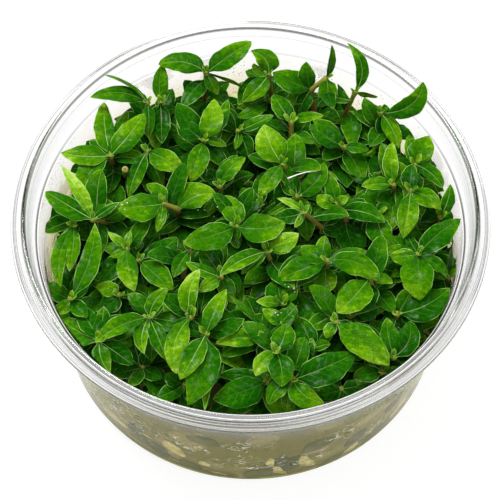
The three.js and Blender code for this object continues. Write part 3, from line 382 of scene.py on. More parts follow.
# Each plantlet is one grown plant: a brownish creeping stem with leaves in pairs, the youngest on top.
# It has rooted in the gel, and leans on its neighbours.
# A row has the stem's nodes from the top down, (x, y, height), then its leaves: (node, tip x, tip y,
# tip height, width, sideways bow, upward bow, roll in degrees, tone). The tone is lower on leaves lying
# deeper, as painted shade. Some have a lower side shoot as well: its node, then its leaves. All are set
# out as seen on one level.
PLANTLETS = [
    # back left
    ([(-22.6, 30.8, 43), (-22.8, 26, 34)], [
        (0, -35.2, 32.2, 47, 4.3, -2, 1.5, 0, 0.6), (0, -32.3, 38.2, 49, 3, -1, 0, 74, 0.7),
        (0, -22.3, 21.8, 40, 2.9, 0.3, 0.8, 0, 0.6)]),
    ([(-19.7, 30.9, 41), (-19.9, 27, 33)], [
        (0, -19.5, 41, 45, 3.5, 0.5, 0.3, 0, 0.7), (0, -19.2, 20.2, 39, 4.1, 0, 0.9, 0, 0.3)]),
    ([(-9.8, 38.8, 44), (-10.2, 30.2, 29.5)], [
        (0, -20.4, 41, 46, 5.7, -1.8, 1.2, 0, 0.6), (0, 0.2, 47.3, 48, 5.5, 0.2, 1, 0, 0.65),
        (0, -1, 34.5, 42, 3.2, 0.4, 0.6, 74, 0.9), (0, -7.2, 33, 40, 2.9, 0, 0.5, 0, 0.7),
        (1, -14.6, 36.8, 36, 4.3, 0, 0.5, 0, 0.3), (1, -16.8, 31.3, 31, 2.8, 0.3, 0.3, 0, 0.15)]),
    # back, right of the middle
    ([(4, 38.2, 43), (4.6, 33, 34)], [
        (0, 0.1, 44.8, 47, 4.9, -1.5, 0.9, 0, 0.7), (0, -1.7, 31, 39.5, 4.5, 0.3, 0.9, 0, 0.75),
        (0, 0.7, 41.3, 43, 2.2, 0.6, 0, 0, 0.8)]),
    ([(16.8, 37.4, 44), (13.3, 34.3, 41), (14, 28.5, 31)], [
        (0, 18.1, 46.4, 49, 2.6, -0.6, 0.5, 50, 0.6), (0, 17.2, 29.8, 39.5, 4.2, 0.1, 0.9, 0, 0.75),
        (1, 4.9, 38.9, 45, 6, 0.2, 1, 0, 0.6), (1, 12.4, 41.8, 46.5, 3.8, 0.3, 0.6, 0, 0.55),
        (1, 10.3, 27.5, 37, 3.6, -0.3, 0.6, 0, 0.35)]),
    ([(23, 33.5, 43), (20.8, 28, 34), (20, 21.5, 26)], [
        (0, 21.6, 46.9, 50, 2.9, -2.4, 1, 0, 0.6), (0, 28, 32.3, 42, 2.4, 0.3, 0.2, 60, 0.8),
        (1, 23.9, 27.5, 34.5, 1.3, 0.2, 0.3, 0, 1.2), (1, 19.2, 35.8, 40, 2, -0.5, 0.4, 0, 0.45),
        (1, 26, 20.7, 35, 4.4, 0.4, 0.6, 0, 0.45)]),
    ([(28.6, 28, 42), (28.9, 23.8, 36)], [
        (0, 38.1, 36.4, 52, 5, -2.7, 1.3, 0, 0.6), (0, 32.1, 18.9, 40, 3.6, 0.6, 0.9, 0, 0.8),
        (1, 25, 32.2, 42.5, 4, 0.6, 0.9, 0, 0.6), (1, 24.8, 17.2, 36.5, 2.6, 1.1, 0.5, 70, 0.95),
        (0, 29.4, 20.2, 35.5, 2.7, -0.2, 0.5, 0, 0.35)]),
    # right
    ([(30.6, 9.6, 41), (31, 6.5, 33)], [
        (0, 30.8, 20.5, 43.5, 3.4, 0.4, 0.9, 0, 0.8), (0, 23.8, 9.2, 41, 3.3, -0.4, 0.9, 0, 0.75)]),
    ([(35.4, 14.8, 41.5), (35.2, 11, 35)], [
        (0, 38.8, 22.2, 43, 5.6, -0.1, 1, 0, 0.75), (0, 34.4, 22.3, 42.5, 3.6, 0.1, 0.8, 0, 0.7),
        (0, 41.1, 8.8, 41, 3.4, 0.9, 0.7, 0, 0.55)]),
    ([(34.2, 8.1, 42.5), (33.5, 6.8, 36)], [
        (0, 40.4, 3.4, 41, 4.5, 0.9, 1, 0, 0.8), (0, 32.2, -3.7, 40, 4.5, 0.2, 1.1, 0, 0.8),
        (0, 34.9, 14.8, 43.5, 3.7, 0.2, 0.4, 0, 0.4)]),
    ([(28.6, 10.6, 35), (28.6, 8, 30)], [
        (0, 20.2, 13.8, 34.5, 7.4, -0.6, 0.6, 0, 0.3), (0, 27.6, 18, 36, 4.6, 0.4, 0.4, 0, 0.35),
        (0, 25.6, 2.5, 36.5, 5.2, 0, 0.8, 0, 0.55)]),
    ([(27.4, 2.6, 37.5), (27.2, 0.5, 31)], [
        (0, 30.1, -5.7, 37, 5.4, -1.3, 0.9, 0, 0.6), (0, 29.8, 4.9, 38, 3, 0.5, 0.2, 0, 0.4)]),
    ([(40.3, 1.6, 38), (39, 0, 32)], [
        (0, 42.8, 9.8, 42, 2.9, -0.5, 0.4, 0, 0.55), (0, 34.8, 3.4, 36, 4, 0.2, 0.4, 0, 0.3)]),
    ([(18.2, 5, 41), (20.2, 0.8, 35), (20.8, -1.5, 30)], [
        (0, 14.3, 7.2, 42, 3.5, 0.5, 0.7, 0, 0.8), (0, 20.9, 6.4, 42.5, 2.3, 0.1, 0.4, 0, 0.85),
        (0, 16.6, 12.9, 43, 3.2, -0.2, 0.5, 0, 0.6), (1, 23.3, -8.5, 34, 6.4, -0.8, 0.8, 0, 0.4),
        (1, 25.3, 3.5, 36, 2, 0.3, 0.4, 0, 0.55)]),
    ([(35.2, -7.6, 42), (35, -9.5, 36)], [
        (0, 44.6, 1.1, 43, 5.4, 0.6, 0.9, 0, 0.5), (0, 41.3, -12.5, 40, 3.2, 0.4, 0.7, 0, 0.55),
        (0, 29.3, -7.8, 41, 4.2, 0.3, 0.8, 0, 0.75), (0, 35.1, -18.6, 40, 7, -0.1, 1.2, 0, 0.75),
        (0, 33, -2.6, 38.5, 2.4, 0.1, 0.3, 0, 0.35)]),
    ([(41.3, -13, 36), (40.6, -14, 30)], [
        (0, 42.5, -4.8, 40, 2.8, 0.2, 0.3, 70, 0.3)]),
    ([(30.3, -21.8, 37.5), (30, -23.5, 31)], [
        (0, 41.4, -15.7, 39, 6.8, -1.1, 0.9, 0, 0.45)]),
    ([(29.3, -31.8, 38), (28.8, -31, 31)], [
        (0, 28.2, -22.8, 40, 4, 0.4, 0.8, 0, 0.55), (0, 32.9, -23.5, 39.5, 5.2, -1.4, 0.8, 0, 0.4)]),
    # middle right
    ([(16, -9.2, 43), (15.6, -10.6, 38), (15.6, -12.5, 32)], [
        (0, 26.9, -14, 40.5, 5.5, 2.2, 1.3, 0, 0.7), (0, 10.7, -5.5, 42, 4.5, 0.3, 0.9, 0, 0.65),
        (0, 5.7, -13.7, 41, 5.4, -0.2, 1.2, 0, 0.65), (1, 15.4, -17.3, 38, 4.6, 0.2, 0.7, 0, 0.8)]),
    ([(24.8, -13.4, 42), (25.7, -16.5, 34)], [
        (0, 17.9, -21.5, 41, 6.6, 0.3, 1.2, 0, 0.8), (0, 29.7, -14.6, 41.5, 2.6, 0.7, 0.4, 0, 0.8)]),
    ([(20.6, -22.2, 37), (20.6, -23, 31)], [
        (0, 26.7, -20, 37.5, 3.8, -0.3, 0.5, 0, 0.35), (0, 18, -16, 36, 3.6, 0, 0.4, 0, 0.35)]),
    ([(17.6, -23.8, 42), (17.4, -22.6, 35)], [
        (0, 28.2, -33.7, 40, 6.7, 0.3, 1.2, 0, 0.8), (0, 15.6, -27.5, 41, 2.6, -0.3, 0.5, 0, 0.75),
        (1, 10.3, -16.7, 36.5, 5.2, 0.2, 0.6, 0, 0.4)]),
    # front right
    ([(8.6, -37, 40), (8.4, -35.5, 33)], [
        (0, 21.5, -30.9, 41, 7, -0.3, 1.2, 0, 0.4), (0, 14.8, -42.2, 38.5, 4.8, -1.2, 0.9, 0, 0.75),
        (0, 3.8, -42.7, 38.5, 3.8, -1.2, 0.8, 0, 0.6)]),
    ([(5.3, -30.6, 42.5), (5.5, -31, 35)], [
        (0, 7.5, -24, 42, 4.9, -0.4, 0.9, 0, 0.6), (0, 1.1, -36.2, 42, 4, -0.9, 0.7, 0, 0.85),
        (0, 6.3, -38.5, 40.5, 5.2, 0.5, 1, 0, 0.55)]),
    ([(26.8, -35.2, 37), (26, -33, 31)], [
        (0, 20.9, -36.3, 37, 3.8, 0, 0.6, 0, 0.5), (0, 23.7, -32, 37, 1.3, 0.1, 0.2, 0, 0.5)],
        ((18.4, -39.2, 30), [
            (0, 23.8, -38.4, 32, 3.8, 0.2, 0.5, 0, 0.5), (0, 12.8, -40.6, 31, 4.0, 0.2, 0.5, 0, 0.4),
            (0, 17.6, -43.4, 31, 3.4, -0.2, 0.4, 0, 0.4)])),
    ([(12.6, -30.2, 37.5), (12.6, -30.5, 31)], [
        (0, 9.4, -22.4, 38.5, 4.4, -0.5, 0.8, 0, 0.45), (0, 16.4, -28.8, 38, 2.5, 0.3, 0.4, 0, 0.6)]),
    ([(7.4, -24.3, 40), (7.2, -23, 33)], [
        (0, 2.5, -20.6, 40.5, 3.3, 0.1, 0.5, 0, 0.8), (0, 8.4, -19.1, 40.5, 3, -0.6, 0.4, 0, 0.7)]),
    ([(6.6, -19.5, 39.5), (6.6, -19, 32)], [
        (0, 1.2, -18.9, 41.5, 2.6, -0.1, 0.4, 0, 0.8), (0, 5.8, -13.4, 39, 5.4, 0.3, 0.5, 0, 0.45),
        (0, 9.6, -14.3, 39.5, 3.2, 0, 0.4, 0, 0.7)]),
    # middle
    ([(11.2, 2.7, 42), (15.3, -1.3, 34)], [
        (0, 9.4, -1, 41, 1.5, 0.2, 0.3, 0, 0.8), (0, 10.6, 5.7, 43, 1.1, 0, 0.1, 0, 0.8),
        (0, 5.1, 1.6, 39, 3.8, 0.5, 0.5, 0, 0.35), (0, 5.6, 6.2, 40, 1.8, -0.6, 0.4, 0, 0.95)]),
    ([(9.8, 6.6, 40.3), (10, 5, 33)], [
        (0, 15.9, 15.2, 43, 4.3, -1.2, 0.7, 0, 0.6), (0, 6.9, 12, 39, 2.8, 0.2, 0.4, 0, 0.5),
        (0, 3.4, 2.1, 37, 2.2, 0.4, 0.5, 0, 0.6)]),
    ([(6.9, 14.8, 43), (9, 12, 38), (11, 10, 33)], [
        (0, 3, 25.1, 44.5, 6.9, 0.6, 1.1, 0, 0.86), (0, 1.9, 6.6, 41.5, 3.9, -0.3, 1, 0, 0.75)]),
    ([(8.9, 25.9, 40), (8.8, 19.2, 33)], [
        (0, 5, 33, 41.5, 4.3, 0.1, 0.7, 0, 0.55), (0, 15.9, 27.4, 41, 2.6, 0.4, 0.5, 0, 0.75),
        (1, 15.3, 19.4, 37, 2.7, 0.6, 0.5, 0, 0.7)]),
    ([(20.2, 19.2, 39.5), (20, 18.5, 33)], [
        (0, 12.9, 25, 40.5, 5, 0.2, 0.8, 0, 0.5), (0, 25.6, 18.5, 39, 2.8, 0.4, 0.5, 0, 0.6)]),
    ([(4, 31.2, 38.3), (3.6, 30, 32)], [
        (0, -2.8, 27, 38, 3.1, 0.4, 0.6, 0, 0.65), (0, 2.8, 25.5, 35, 3.4, 0, 0.4, 0, 0.25)]),
    ([(-2.6, 23.3, 40), (-2.6, 22, 33)], [
        (0, 5, 27.4, 42, 3, 0, 0.6, 0, 0.6), (0, -3.3, 18.7, 39.5, 1.7, 0.2, 0.4, 0, 0.75),
        (0, -0.4, 16.3, 37, 4.4, 0.3, 0.5, 0, 0.35)]),
    ([(-6.6, 9.2, 40.3), (-6.2, 8, 34)], [
        (0, -1.1, 16.5, 42, 4, 1.1, 0.8, 0, 0.7), (0, -9, 13.6, 38, 3.2, 0, 0.4, 0, 0.35)]),
    ([(1.6, 4.2, 37), (1.4, 3, 31)], [
        (0, -1.9, 9, 38, 4, 0.2, 0.5, 0, 0.5), (0, 2, 12, 37, 3.4, 0, 0.4, 0, 0.4)]),
    ([(-2.9, -0.8, 43), (-2.8, 0.5, 35)], [
        (0, 7.3, 0.2, 43, 7.1, -1, 1.3, 0, 0.7), (0, -14.1, -4.9, 42.5, 6.5, 0.3, 1.4, 0, 0.65),
        (0, -5.8, 6.8, 42.5, 4.8, -0.8, 0.9, 0, 0.7), (0, -3, -4.5, 41, 1.5, 0.1, 0.5, 0, 0.55)]),
    ([(3.4, -6.9, 42), (5, -11.5, 34.5)], [
        (0, -6.3, -12.7, 42.5, 3.7, -0.9, 0.8, 0, 0.7), (0, -2, -12.4, 40.5, 2.2, 0.2, 0.5, 0, 0.6),
        (0, 10.2, -2.5, 43.5, 4.8, 0, 0.6, 0, 0.9)]),
    # front middle and left
    ([(2.6, -28.2, 41), (1.8, -27, 34)], [
        (0, -7.1, -28.8, 39.5, 4.8, -1.1, 0.9, 0, 0.8), (0, 2.4, -33, 37, 3.2, 0.2, 0.4, 0, 0.3),
        (1, -5.6, -34.4, 33, 4.4, 0.3, 0.5, 0, 0.25)]),
    ([(2.3, -24.9, 40), (1.6, -25.6, 33)], [
        (0, -4.3, -17.5, 43, 3, 0, 0.3, 58, 0.65), (0, -6.8, -23.8, 36.5, 4.8, -1, 0.6, 0, 0.35)]),
    ([(3.2, -37.4, 38), (3.2, -36, 31)], [
        (0, -7.6, -41.3, 37.5, 6.8, 0.5, 1, 0, 0.45), (0, -6.4, -35.9, 36, 3.4, -0.7, 0.5, 0, 0.35)]),
    ([(-9.2, -26.6, 42.5), (-9, -27, 35)], [
        (0, -5, -16, 43, 3.9, 0.3, 1, 0, 0.75), (0, -14.3, -36.9, 42, 4.5, 0.1, 1.1, 0, 0.7),
        (0, -12.6, -42.7, 39.5, 6.7, 0.8, 1, 0, 0.6), (0, -9.2, -43.9, 38.5, 2.5, 0.3, 0.6, 0, 0.65)],
        ((-13.5, -38.2, 31), [
            (0, -18.9, -41.0, 32, 3.8, 0.2, 0.5, 0, 0.5), (0, -8.0, -42.6, 31, 4.2, -0.2, 0.5, 0, 0.35),
            (0, -17.2, -35.6, 33, 3.4, 0.2, 0.4, 0, 0.4), (0, -6.2, -36.6, 33, 3.8, 0.2, 0.5, 0, 0.4)])),
    ([(-12.4, -22.6, 42), (-11, -23.2, 34)], [
        (0, -15, -35.6, 41, 4.6, -1.9, 1.1, 0, 0.86), (0, -10.6, -11.2, 43.5, 4, 1.2, 1, 0, 0.86),
        (0, -16.8, -24.7, 40, 2, 0.2, 0.5, 0, 0.5)]),
    ([(-6.2, -13.1, 40.3), (-6, -12, 33)], [
        (0, -10.5, -16.7, 41, 3.2, -0.4, 0.6, 0, 0.8), (0, -13.5, -9.5, 41, 3, 0.2, 0.7, 0, 0.7)]),
    ([(-12.6, -6.6, 40), (-14.2, -13.8, 34)], [
        (0, -16.1, -13.2, 40, 3.4, -0.4, 0.7, 0, 0.6), (1, -17.9, -21.5, 37, 4.4, 0.2, 0.7, 0, 0.7)]),
    ([(-20.9, -22.6, 41), (-20.3, -22.9, 34)], [
        (0, -31.8, -28.5, 41, 4.1, -1.1, 1, 0, 0.7), (0, -17.3, -15.8, 42.5, 3.4, 0.8, 0.8, 0, 0.7),
        (0, -21.7, -31.1, 39.5, 3.1, -1, 0.8, 0, 0.75), (0, -17, -32.7, 39, 3.7, 0.1, 0.9, 0, 0.6)],
        ((-22.0, -34.2, 31), [
            (0, -25.0, -38.5, 33, 2.6, 0.3, 0.4, 0, 0.6), (0, -27.8, -35.6, 33, 3.8, 0.1, 0.5, 0, 0.3),
            (0, -17.9, -36.6, 32, 3.2, -0.2, 0.4, 0, 0.4), (0, -20.5, -29.6, 33, 3.2, 0.2, 0.4, 0, 0.35)])),
    ([(-31, -28.2, 40.5), (-30.6, -27.5, 33)], [
        (0, -39.6, -22.6, 36, 5.4, 0.5, 1, 0, 0.65), (0, -36.4, -19.3, 38.5, 4.4, -0.3, 0.8, 0, 0.5),
        (0, -28.5, -35.4, 38.5, 3.7, -0.8, 0.7, 0, 0.65), (0, -24, -33.6, 37, 4.3, 0.1, 0.7, 0, 0.3),
        (0, -26.3, -22, 39, 3.9, 0.7, 0.6, 0, 0.5)]),
    # left
    ([(-27.4, -17.4, 38), (-27, -18, 31)], [
        (0, -32.2, -15.4, 38.5, 3.7, -0.6, 0.5, 0, 0.8), (0, -31.2, -21, 36, 4.4, 0.4, 0.5, 0, 0.4)]),
    ([(-23.3, -9, 39), (-23.3, -10, 33)], [
        (0, -16.2, -16.2, 40, 5, 0, 0.9, 0, 0.65), (0, -15.6, -3.4, 38, 5.2, -0.8, 0.7, 0, 0.35)]),
    ([(-37.3, -18.2, 40.5), (-36.8, -19, 33)], [
        (0, -33, 0, 42.5, 4.4, -1.3, 1.4, 0, 0.65), (0, -39.7, -22, 37.5, 3, 0.2, 0.4, 0, 0.75),
        (0, -33.6, -22.6, 38, 3.4, -0.2, 0.5, 0, 0.5)]),
    ([(-37.4, -0.6, 41), (-37.2, 0.6, 34)], [
        (0, -39.4, -15.4, 39.5, 3.3, -1.6, 0.9, 0, 0.7), (0, -37.9, -11.7, 40, 3.4, 0.3, 0.8, 0, 0.75),
        (0, -41.4, -8.4, 39.5, 2, -0.5, 0.5, 0, 0.5)]),
    ([(-33.4, 0.9, 42.3), (-30.4, 0.1, 34)], [
        (0, -43.8, 7.9, 42.5, 4.8, 0.1, 0.9, 0, 0.55), (0, -28, 5.2, 43, 2.1, 0.1, 0.4, 0, 0.5),
        (0, -38, 7.3, 41, 4.4, 0.3, 0.5, 0, 0.45), (0, -40.8, 14.5, 43, 3, -0.4, 0.9, 0, 0.98),
        (0, -31.2, 11.7, 39.5, 3.4, 0.1, 0.6, 0, 0.6)]),
    ([(-30.2, 17, 42), (-29.8, 15, 34)], [
        (0, -23.2, 27.9, 43, 5.5, -0.3, 1, 0, 0.75), (0, -41, 17.7, 43, 5.3, 0.5, 1, 0, 0.8),
        (0, -32.1, 30.9, 43, 4.4, 0.5, 0.8, 0, 0.7), (0, -35.4, 7.1, 41, 5, -1.9, 1, 0, 0.7),
        (0, -26.8, 28.6, 40.5, 2.8, 0.4, 0.4, 0, 0.6), (0, -35, 20.8, 41.5, 3.2, -0.3, 0.5, 0, 0.4)]),
    ([(-26, -6.2, 41), (-26, -8, 34)], [
        (0, -24.1, -16.5, 40, 4.4, -0.5, 0.9, 0, 0.8), (0, -30.1, -2.1, 42, 1.9, 0.1, 0.4, 0, 0.85),
        (0, -25.3, -1.7, 42, 1.7, 0.2, 0.3, 0, 0.85), (0, -29.5, -8, 40.5, 2, 0.3, 0.3, 0, 0.8),
        (0, -28, -15, 37.5, 2.8, 0.6, 0.5, 0, 0.3)]),
    # middle left
    ([(-18.6, 4.8, 42), (-15.4, 3.5, 39.5), (-15.2, 2, 33)], [
        (0, -28.4, 3.9, 42, 7, 0.2, 1.3, 0, 0.75), (0, -22.4, 9.6, 41, 3.4, -1.3, 0.7, 0, 0.65),
        (0, -19.8, -2, 41, 2.2, 0.2, 0.6, 0, 0.75), (1, -7.4, 7.4, 42, 6.6, 1.3, 1.1, 0, 0.8)]),
    ([(-10.1, 20.9, 43), (-10.4, 18.5, 35)], [
        (0, -8, 31.8, 45, 5, -0.5, 1, 0, 0.84), (0, -12.6, 10.4, 41.5, 4.6, -0.3, 1.1, 0, 0.75),
        (0, -15.7, 26.6, 42, 4.8, 0.3, 0.8, 0, 0.4), (0, -4.9, 31.7, 42, 3.6, -0.4, 0.6, 0, 0.6),
        (0, -5.2, 19.4, 40.5, 2.2, 0.4, 0.4, 0, 0.75)]),
    ([(-22.3, 18.2, 41.5), (-22.3, 16, 34)], [
        (0, -14.7, 13.3, 41, 5.4, 0.3, 1, 0, 0.8), (0, -26, 6.2, 38, 3.4, -0.6, 0.9, 0, 0.6)]),
]
LEVEL = 42.0  # the level that the rows are set out on
SIDE_FORK = 14.0  # where a side shoot leaves its stem
STEM_RADIUS = 0.6
FOOT_SHARE = 0.93  # a stem's foot is nearer to the middle than its lowest node
CLEARANCE = 0.3
ON_CORNER = 0.3  # a leaf is drawn where its tip is this near to a corner of the solid
RIM_FLARE = 0.35  # how fast the room inside the cup widens above the step
# The places for a stem's foot, and the changes to a leaf tip's height, that are looked for in the solid
FOOT_SHIFTS = [(0, 0), (2, 0), (-2, 0), (0, 2), (0, -2), (2.5, 2.5), (-2.5, 2.5), (2.5, -2.5), (-2.5, -2.5)]
HEIGHT_SHIFTS = [0, 0.8, -0.8, 1.6, -1.6, 2.4, -2.4, 3.2, -3.2, 4, -4]
# Whorls of leaves on the stem's lowest stretch
WHORL_PLACES = [0.1, 0.48]
WHORL_LENGTHS = [10, 8.5, 7, 5.5, 4]
WHORL_RISES = [2, -1, 4.5]
WHORL_TURN = 0.9
WHORL_WIDTH, WHORL_BOW = 0.56, 0.12  # shares of a leaf's length
# Painted shade: each lower whorl's leaves are darker by this
WHORL_SHADE_STEP = 0.22  # from one whorl to the next
OUTER = 29  # stems further out than this have two whorls
# Pairs of leaves lower down
PAIR_LENGTHS = (7.5, 11.5)
PAIR_SPACING = (3.4, 4.6)
PAIR_TONES = (0.34, 0.7)
FREE_FOOT, FREE_NODE = 5, 2  # mm without leaves above the gel or a fork, and above a stem's next stretch
OPEN_RADIUS = 37.5  # at the back and the sides the leaves of lower nodes end nearer to the middle than this
OPEN_FROM = -12
TALLEST = 51.99  # the highest leaf tip
FRONT_LINE = -30
FINE_GRID, COARSE_GRID = (19, 9), (12, 7)  # points along and across a top leaf, and any other leaf
PETIOLE = 0.36  # half its width
LEAF_THICKNESS = 0.22
TUBE_SIDES = 8


def seen(points):
    """The points, at their own heights, that cover the given plan points of the level in the view:
    the line from the eye to the plan point is cut at the point's height."""
    points = np.asarray(points, float)
    share = (EYE[2] - points[..., 2:]) / (EYE[2] - LEVEL)
    plan = points.copy()
    plan[..., 2] = LEVEL
    return EYE + (plan - EYE) * share


def keep_inside(points):
    """Points beyond the radius that the wall leaves free at their height are moved in to it."""
    points = np.array(points, float)
    z = points[..., 2]
    wall = FOOT_RADIUS - WALL + (STEP_RADIUS - FOOT_RADIUS + WALL) * np.minimum(z / STEP_HEIGHT, 1)
    free = wall - 2 * CLEARANCE + RIM_FLARE * np.maximum(z - STEP_HEIGHT, 0)
    radius = np.hypot(points[..., 0], points[..., 1])
    points[..., :2] *= np.minimum(1, free / np.maximum(radius, 1e-6))[..., None]
    points[..., 2] = np.minimum(z, TALLEST)
    return points


def unit(vectors):
    """The vectors, each divided by its length."""
    return vectors / np.maximum(np.linalg.norm(vectors, axis=-1, keepdims=True), 1e-9)


def blade(base, tip, width, bow_side, bow_up, roll, rng, settle, fine=True):
    """A leaf's upper skin on a grid of (along, across). Its midrib is a bowed line from base to tip.
    The half width follows the power of a sine, narrowed to a petiole, and each half bulges between
    midrib and margin."""
    base, tip = np.asarray(base, float), np.asarray(tip, float)
    rows, columns = FINE_GRID if fine else COARSE_GRID
    t = np.linspace(0, 1, rows)[:, None]
    s = np.linspace(-1, 1, columns)[None, :]
    chord = tip - base
    left = unit(np.array((-chord[1], chord[0], 0.0)))
    middle = (base + tip) / 2 + 2 * bow_side * left
    middle[2] += 2 * bow_up
    centre = (1 - t) ** 2 * base + 2 * t * (1 - t) * middle + t**2 * tip
    along = 2 * (1 - t) * (middle - base) + 2 * t * (tip - middle)
    side = unit(np.stack([-along[:, 1], along[:, 0], 0 * along[:, 0]], -1))
    # the half width, with a slightly wavy margin and one half wider than the other
    grown = np.clip((t - 0.02) / 0.2, 0, 1)
    grown = grown * grown * (3 - 2 * grown)
    blunt = rng.uniform(0.54, 0.88)
    half = width / 2 * np.sin(np.pi * np.minimum(t, 0.999) ** 0.9) ** (0.75 + (blunt - 0.75) * t) * grown
    half = half * (1 + 0.03 * np.sin(17 * t + rng.uniform(0, 6)) + 0.02 * np.sin(31 * t + rng.uniform(0, 6)))
    half = half + PETIOLE * (1 - grown) + 0.03
    half = half * (1 + rng.uniform(-0.16, 0.16) * np.sign(s) * grown)
    across = s * half
    # how far the skin stands above the midrib's line: folded up, bulging, and waved at the margin
    fold = rng.uniform(0.05, 0.34)
    bulge = rng.uniform(0.3, 0.6)
    wave = rng.uniform(0.0, 0.09)
    phase = rng.uniform(0, 6.28)
    a = np.abs(s)
    raised = fold * a + bulge * (a - a * a) - 0.05 + wave * a**2 * np.sin(9 * t + phase + 1.5 * s)
    raised = half * grown * raised
    turn = np.radians(roll)
    sideways = across * np.cos(turn) - raised * np.sin(turn)
    points = centre[:, None, :] + side[:, None, :] * sideways[..., None]
    points[..., 2] += across * np.sin(turn) + raised * np.cos(turn)
    plan = np.stack([t * np.linalg.norm(chord) + 0 * s, across, half, t + 0 * s], -1)
    return keep_inside(settle(points)), plan


def leaf_solid(skin, under=(0, 0, -1), thickness=LEAF_THICKNESS):
    """Closes a blade: a second skin lies a leaf's thickness away on its under side and meets it at the
    margins. Also gives the row of the first skin that each point belongs to."""
    rows, columns = skin.shape[:2]
    upper = np.arange(rows * columns).reshape(rows, columns)
    lower = upper.copy()
    inner = (rows - 2) * (columns - 2)
    lower[1:-1, 1:-1] = rows * columns + np.arange(inner).reshape(rows - 2, columns - 2)
    s = np.linspace(-1, 1, columns)[1:-1]
    away = np.broadcast_to(under, skin.shape)[1:-1, 1:-1]
    below = skin[1:-1, 1:-1] + away * (thickness * np.sqrt(1 - s * s))[..., None]
    points = np.concatenate([skin.reshape(-1, 3), below.reshape(-1, 3)])
    own = np.concatenate([upper.ravel(), upper[1:-1, 1:-1].ravel()])

    def quads(grid):
        """The grid's quads, turned to face along the first skin's upper side."""
        return np.stack([grid[:-1, :-1], grid[1:, :-1], grid[1:, 1:], grid[:-1, 1:]], -1)

    lower_quads = quads(lower)[..., [0, 3, 2, 1]]
    return points, np.concatenate([quads(upper).reshape(-1, 4), lower_quads.reshape(-1, 4)]).tolist(), own


def sharpen_margins(mesh, plan, share):
    """Marks the edges along the outline of each blade as sharp, where the upper and the under skin meet."""
    at_end = (share < 0.001) | (share > 0.999)
    on_margin = (plan[:, 2] > 0) & (at_end | (np.abs(plan[:, 1]) > 0.999 * plan[:, 2]))
    edges = np.empty(2 * len(mesh.edges), np.int32)
    mesh.edges.foreach_get("vertices", edges)
    sharp = on_margin[edges.reshape(-1, 2)].all(1)
    mesh.attributes.new("sharp_edge", "BOOLEAN", "EDGE").data.foreach_set("value", sharp)


def tube(line, radii):
    """A closed tube of given radii carried along a line of points, with a point at each end."""
    line, radii = np.asarray(line, float), np.asarray(radii, float)
    along = unit(np.gradient(line, axis=0))
    side = unit(np.cross(np.array((0.0, 1.0, 0.05)), along))
    up = np.cross(along, side)
    angle = (np.arange(TUBE_SIDES) * 2 * np.pi / TUBE_SIDES)[None, :, None]
    spokes = side[:, None] * np.cos(angle) + up[:, None] * np.sin(angle)
    rings = line[:, None] + radii[:, None, None] * spokes
    points = np.concatenate([[line[0] - along[0] * radii[0] * 0.6], rings.reshape(-1, 3), [line[-1]]])
    return points, ring_faces(len(line), TUBE_SIDES)


def resampled(corners, spacing):
    """Points at an even spacing along straight stretches between corners, then smoothed a little."""
    corners = np.asarray(corners, float)
    lengths = np.linalg.norm(np.diff(corners, axis=0), axis=1)
    run = np.concatenate([[0], np.cumsum(lengths)])
    at = np.linspace(0, run[-1], max(int(run[-1] / spacing), 3) + 1)
    line = np.stack([np.interp(at, run, corners[:, k]) for k in range(3)], -1)
    line[1:-1] = 0.25 * line[:-2] + 0.5 * line[1:-1] + 0.25 * line[2:]
    return line, at, run


def joined(pieces):
    """One set of points and faces from several."""
    starts = np.cumsum([0] + [len(points) for points, _ in pieces])
    faces = [[v + start for v in face] for (_, some), start in zip(pieces, starts) for face in some]
    return np.concatenate([points for points, _ in pieces]), faces


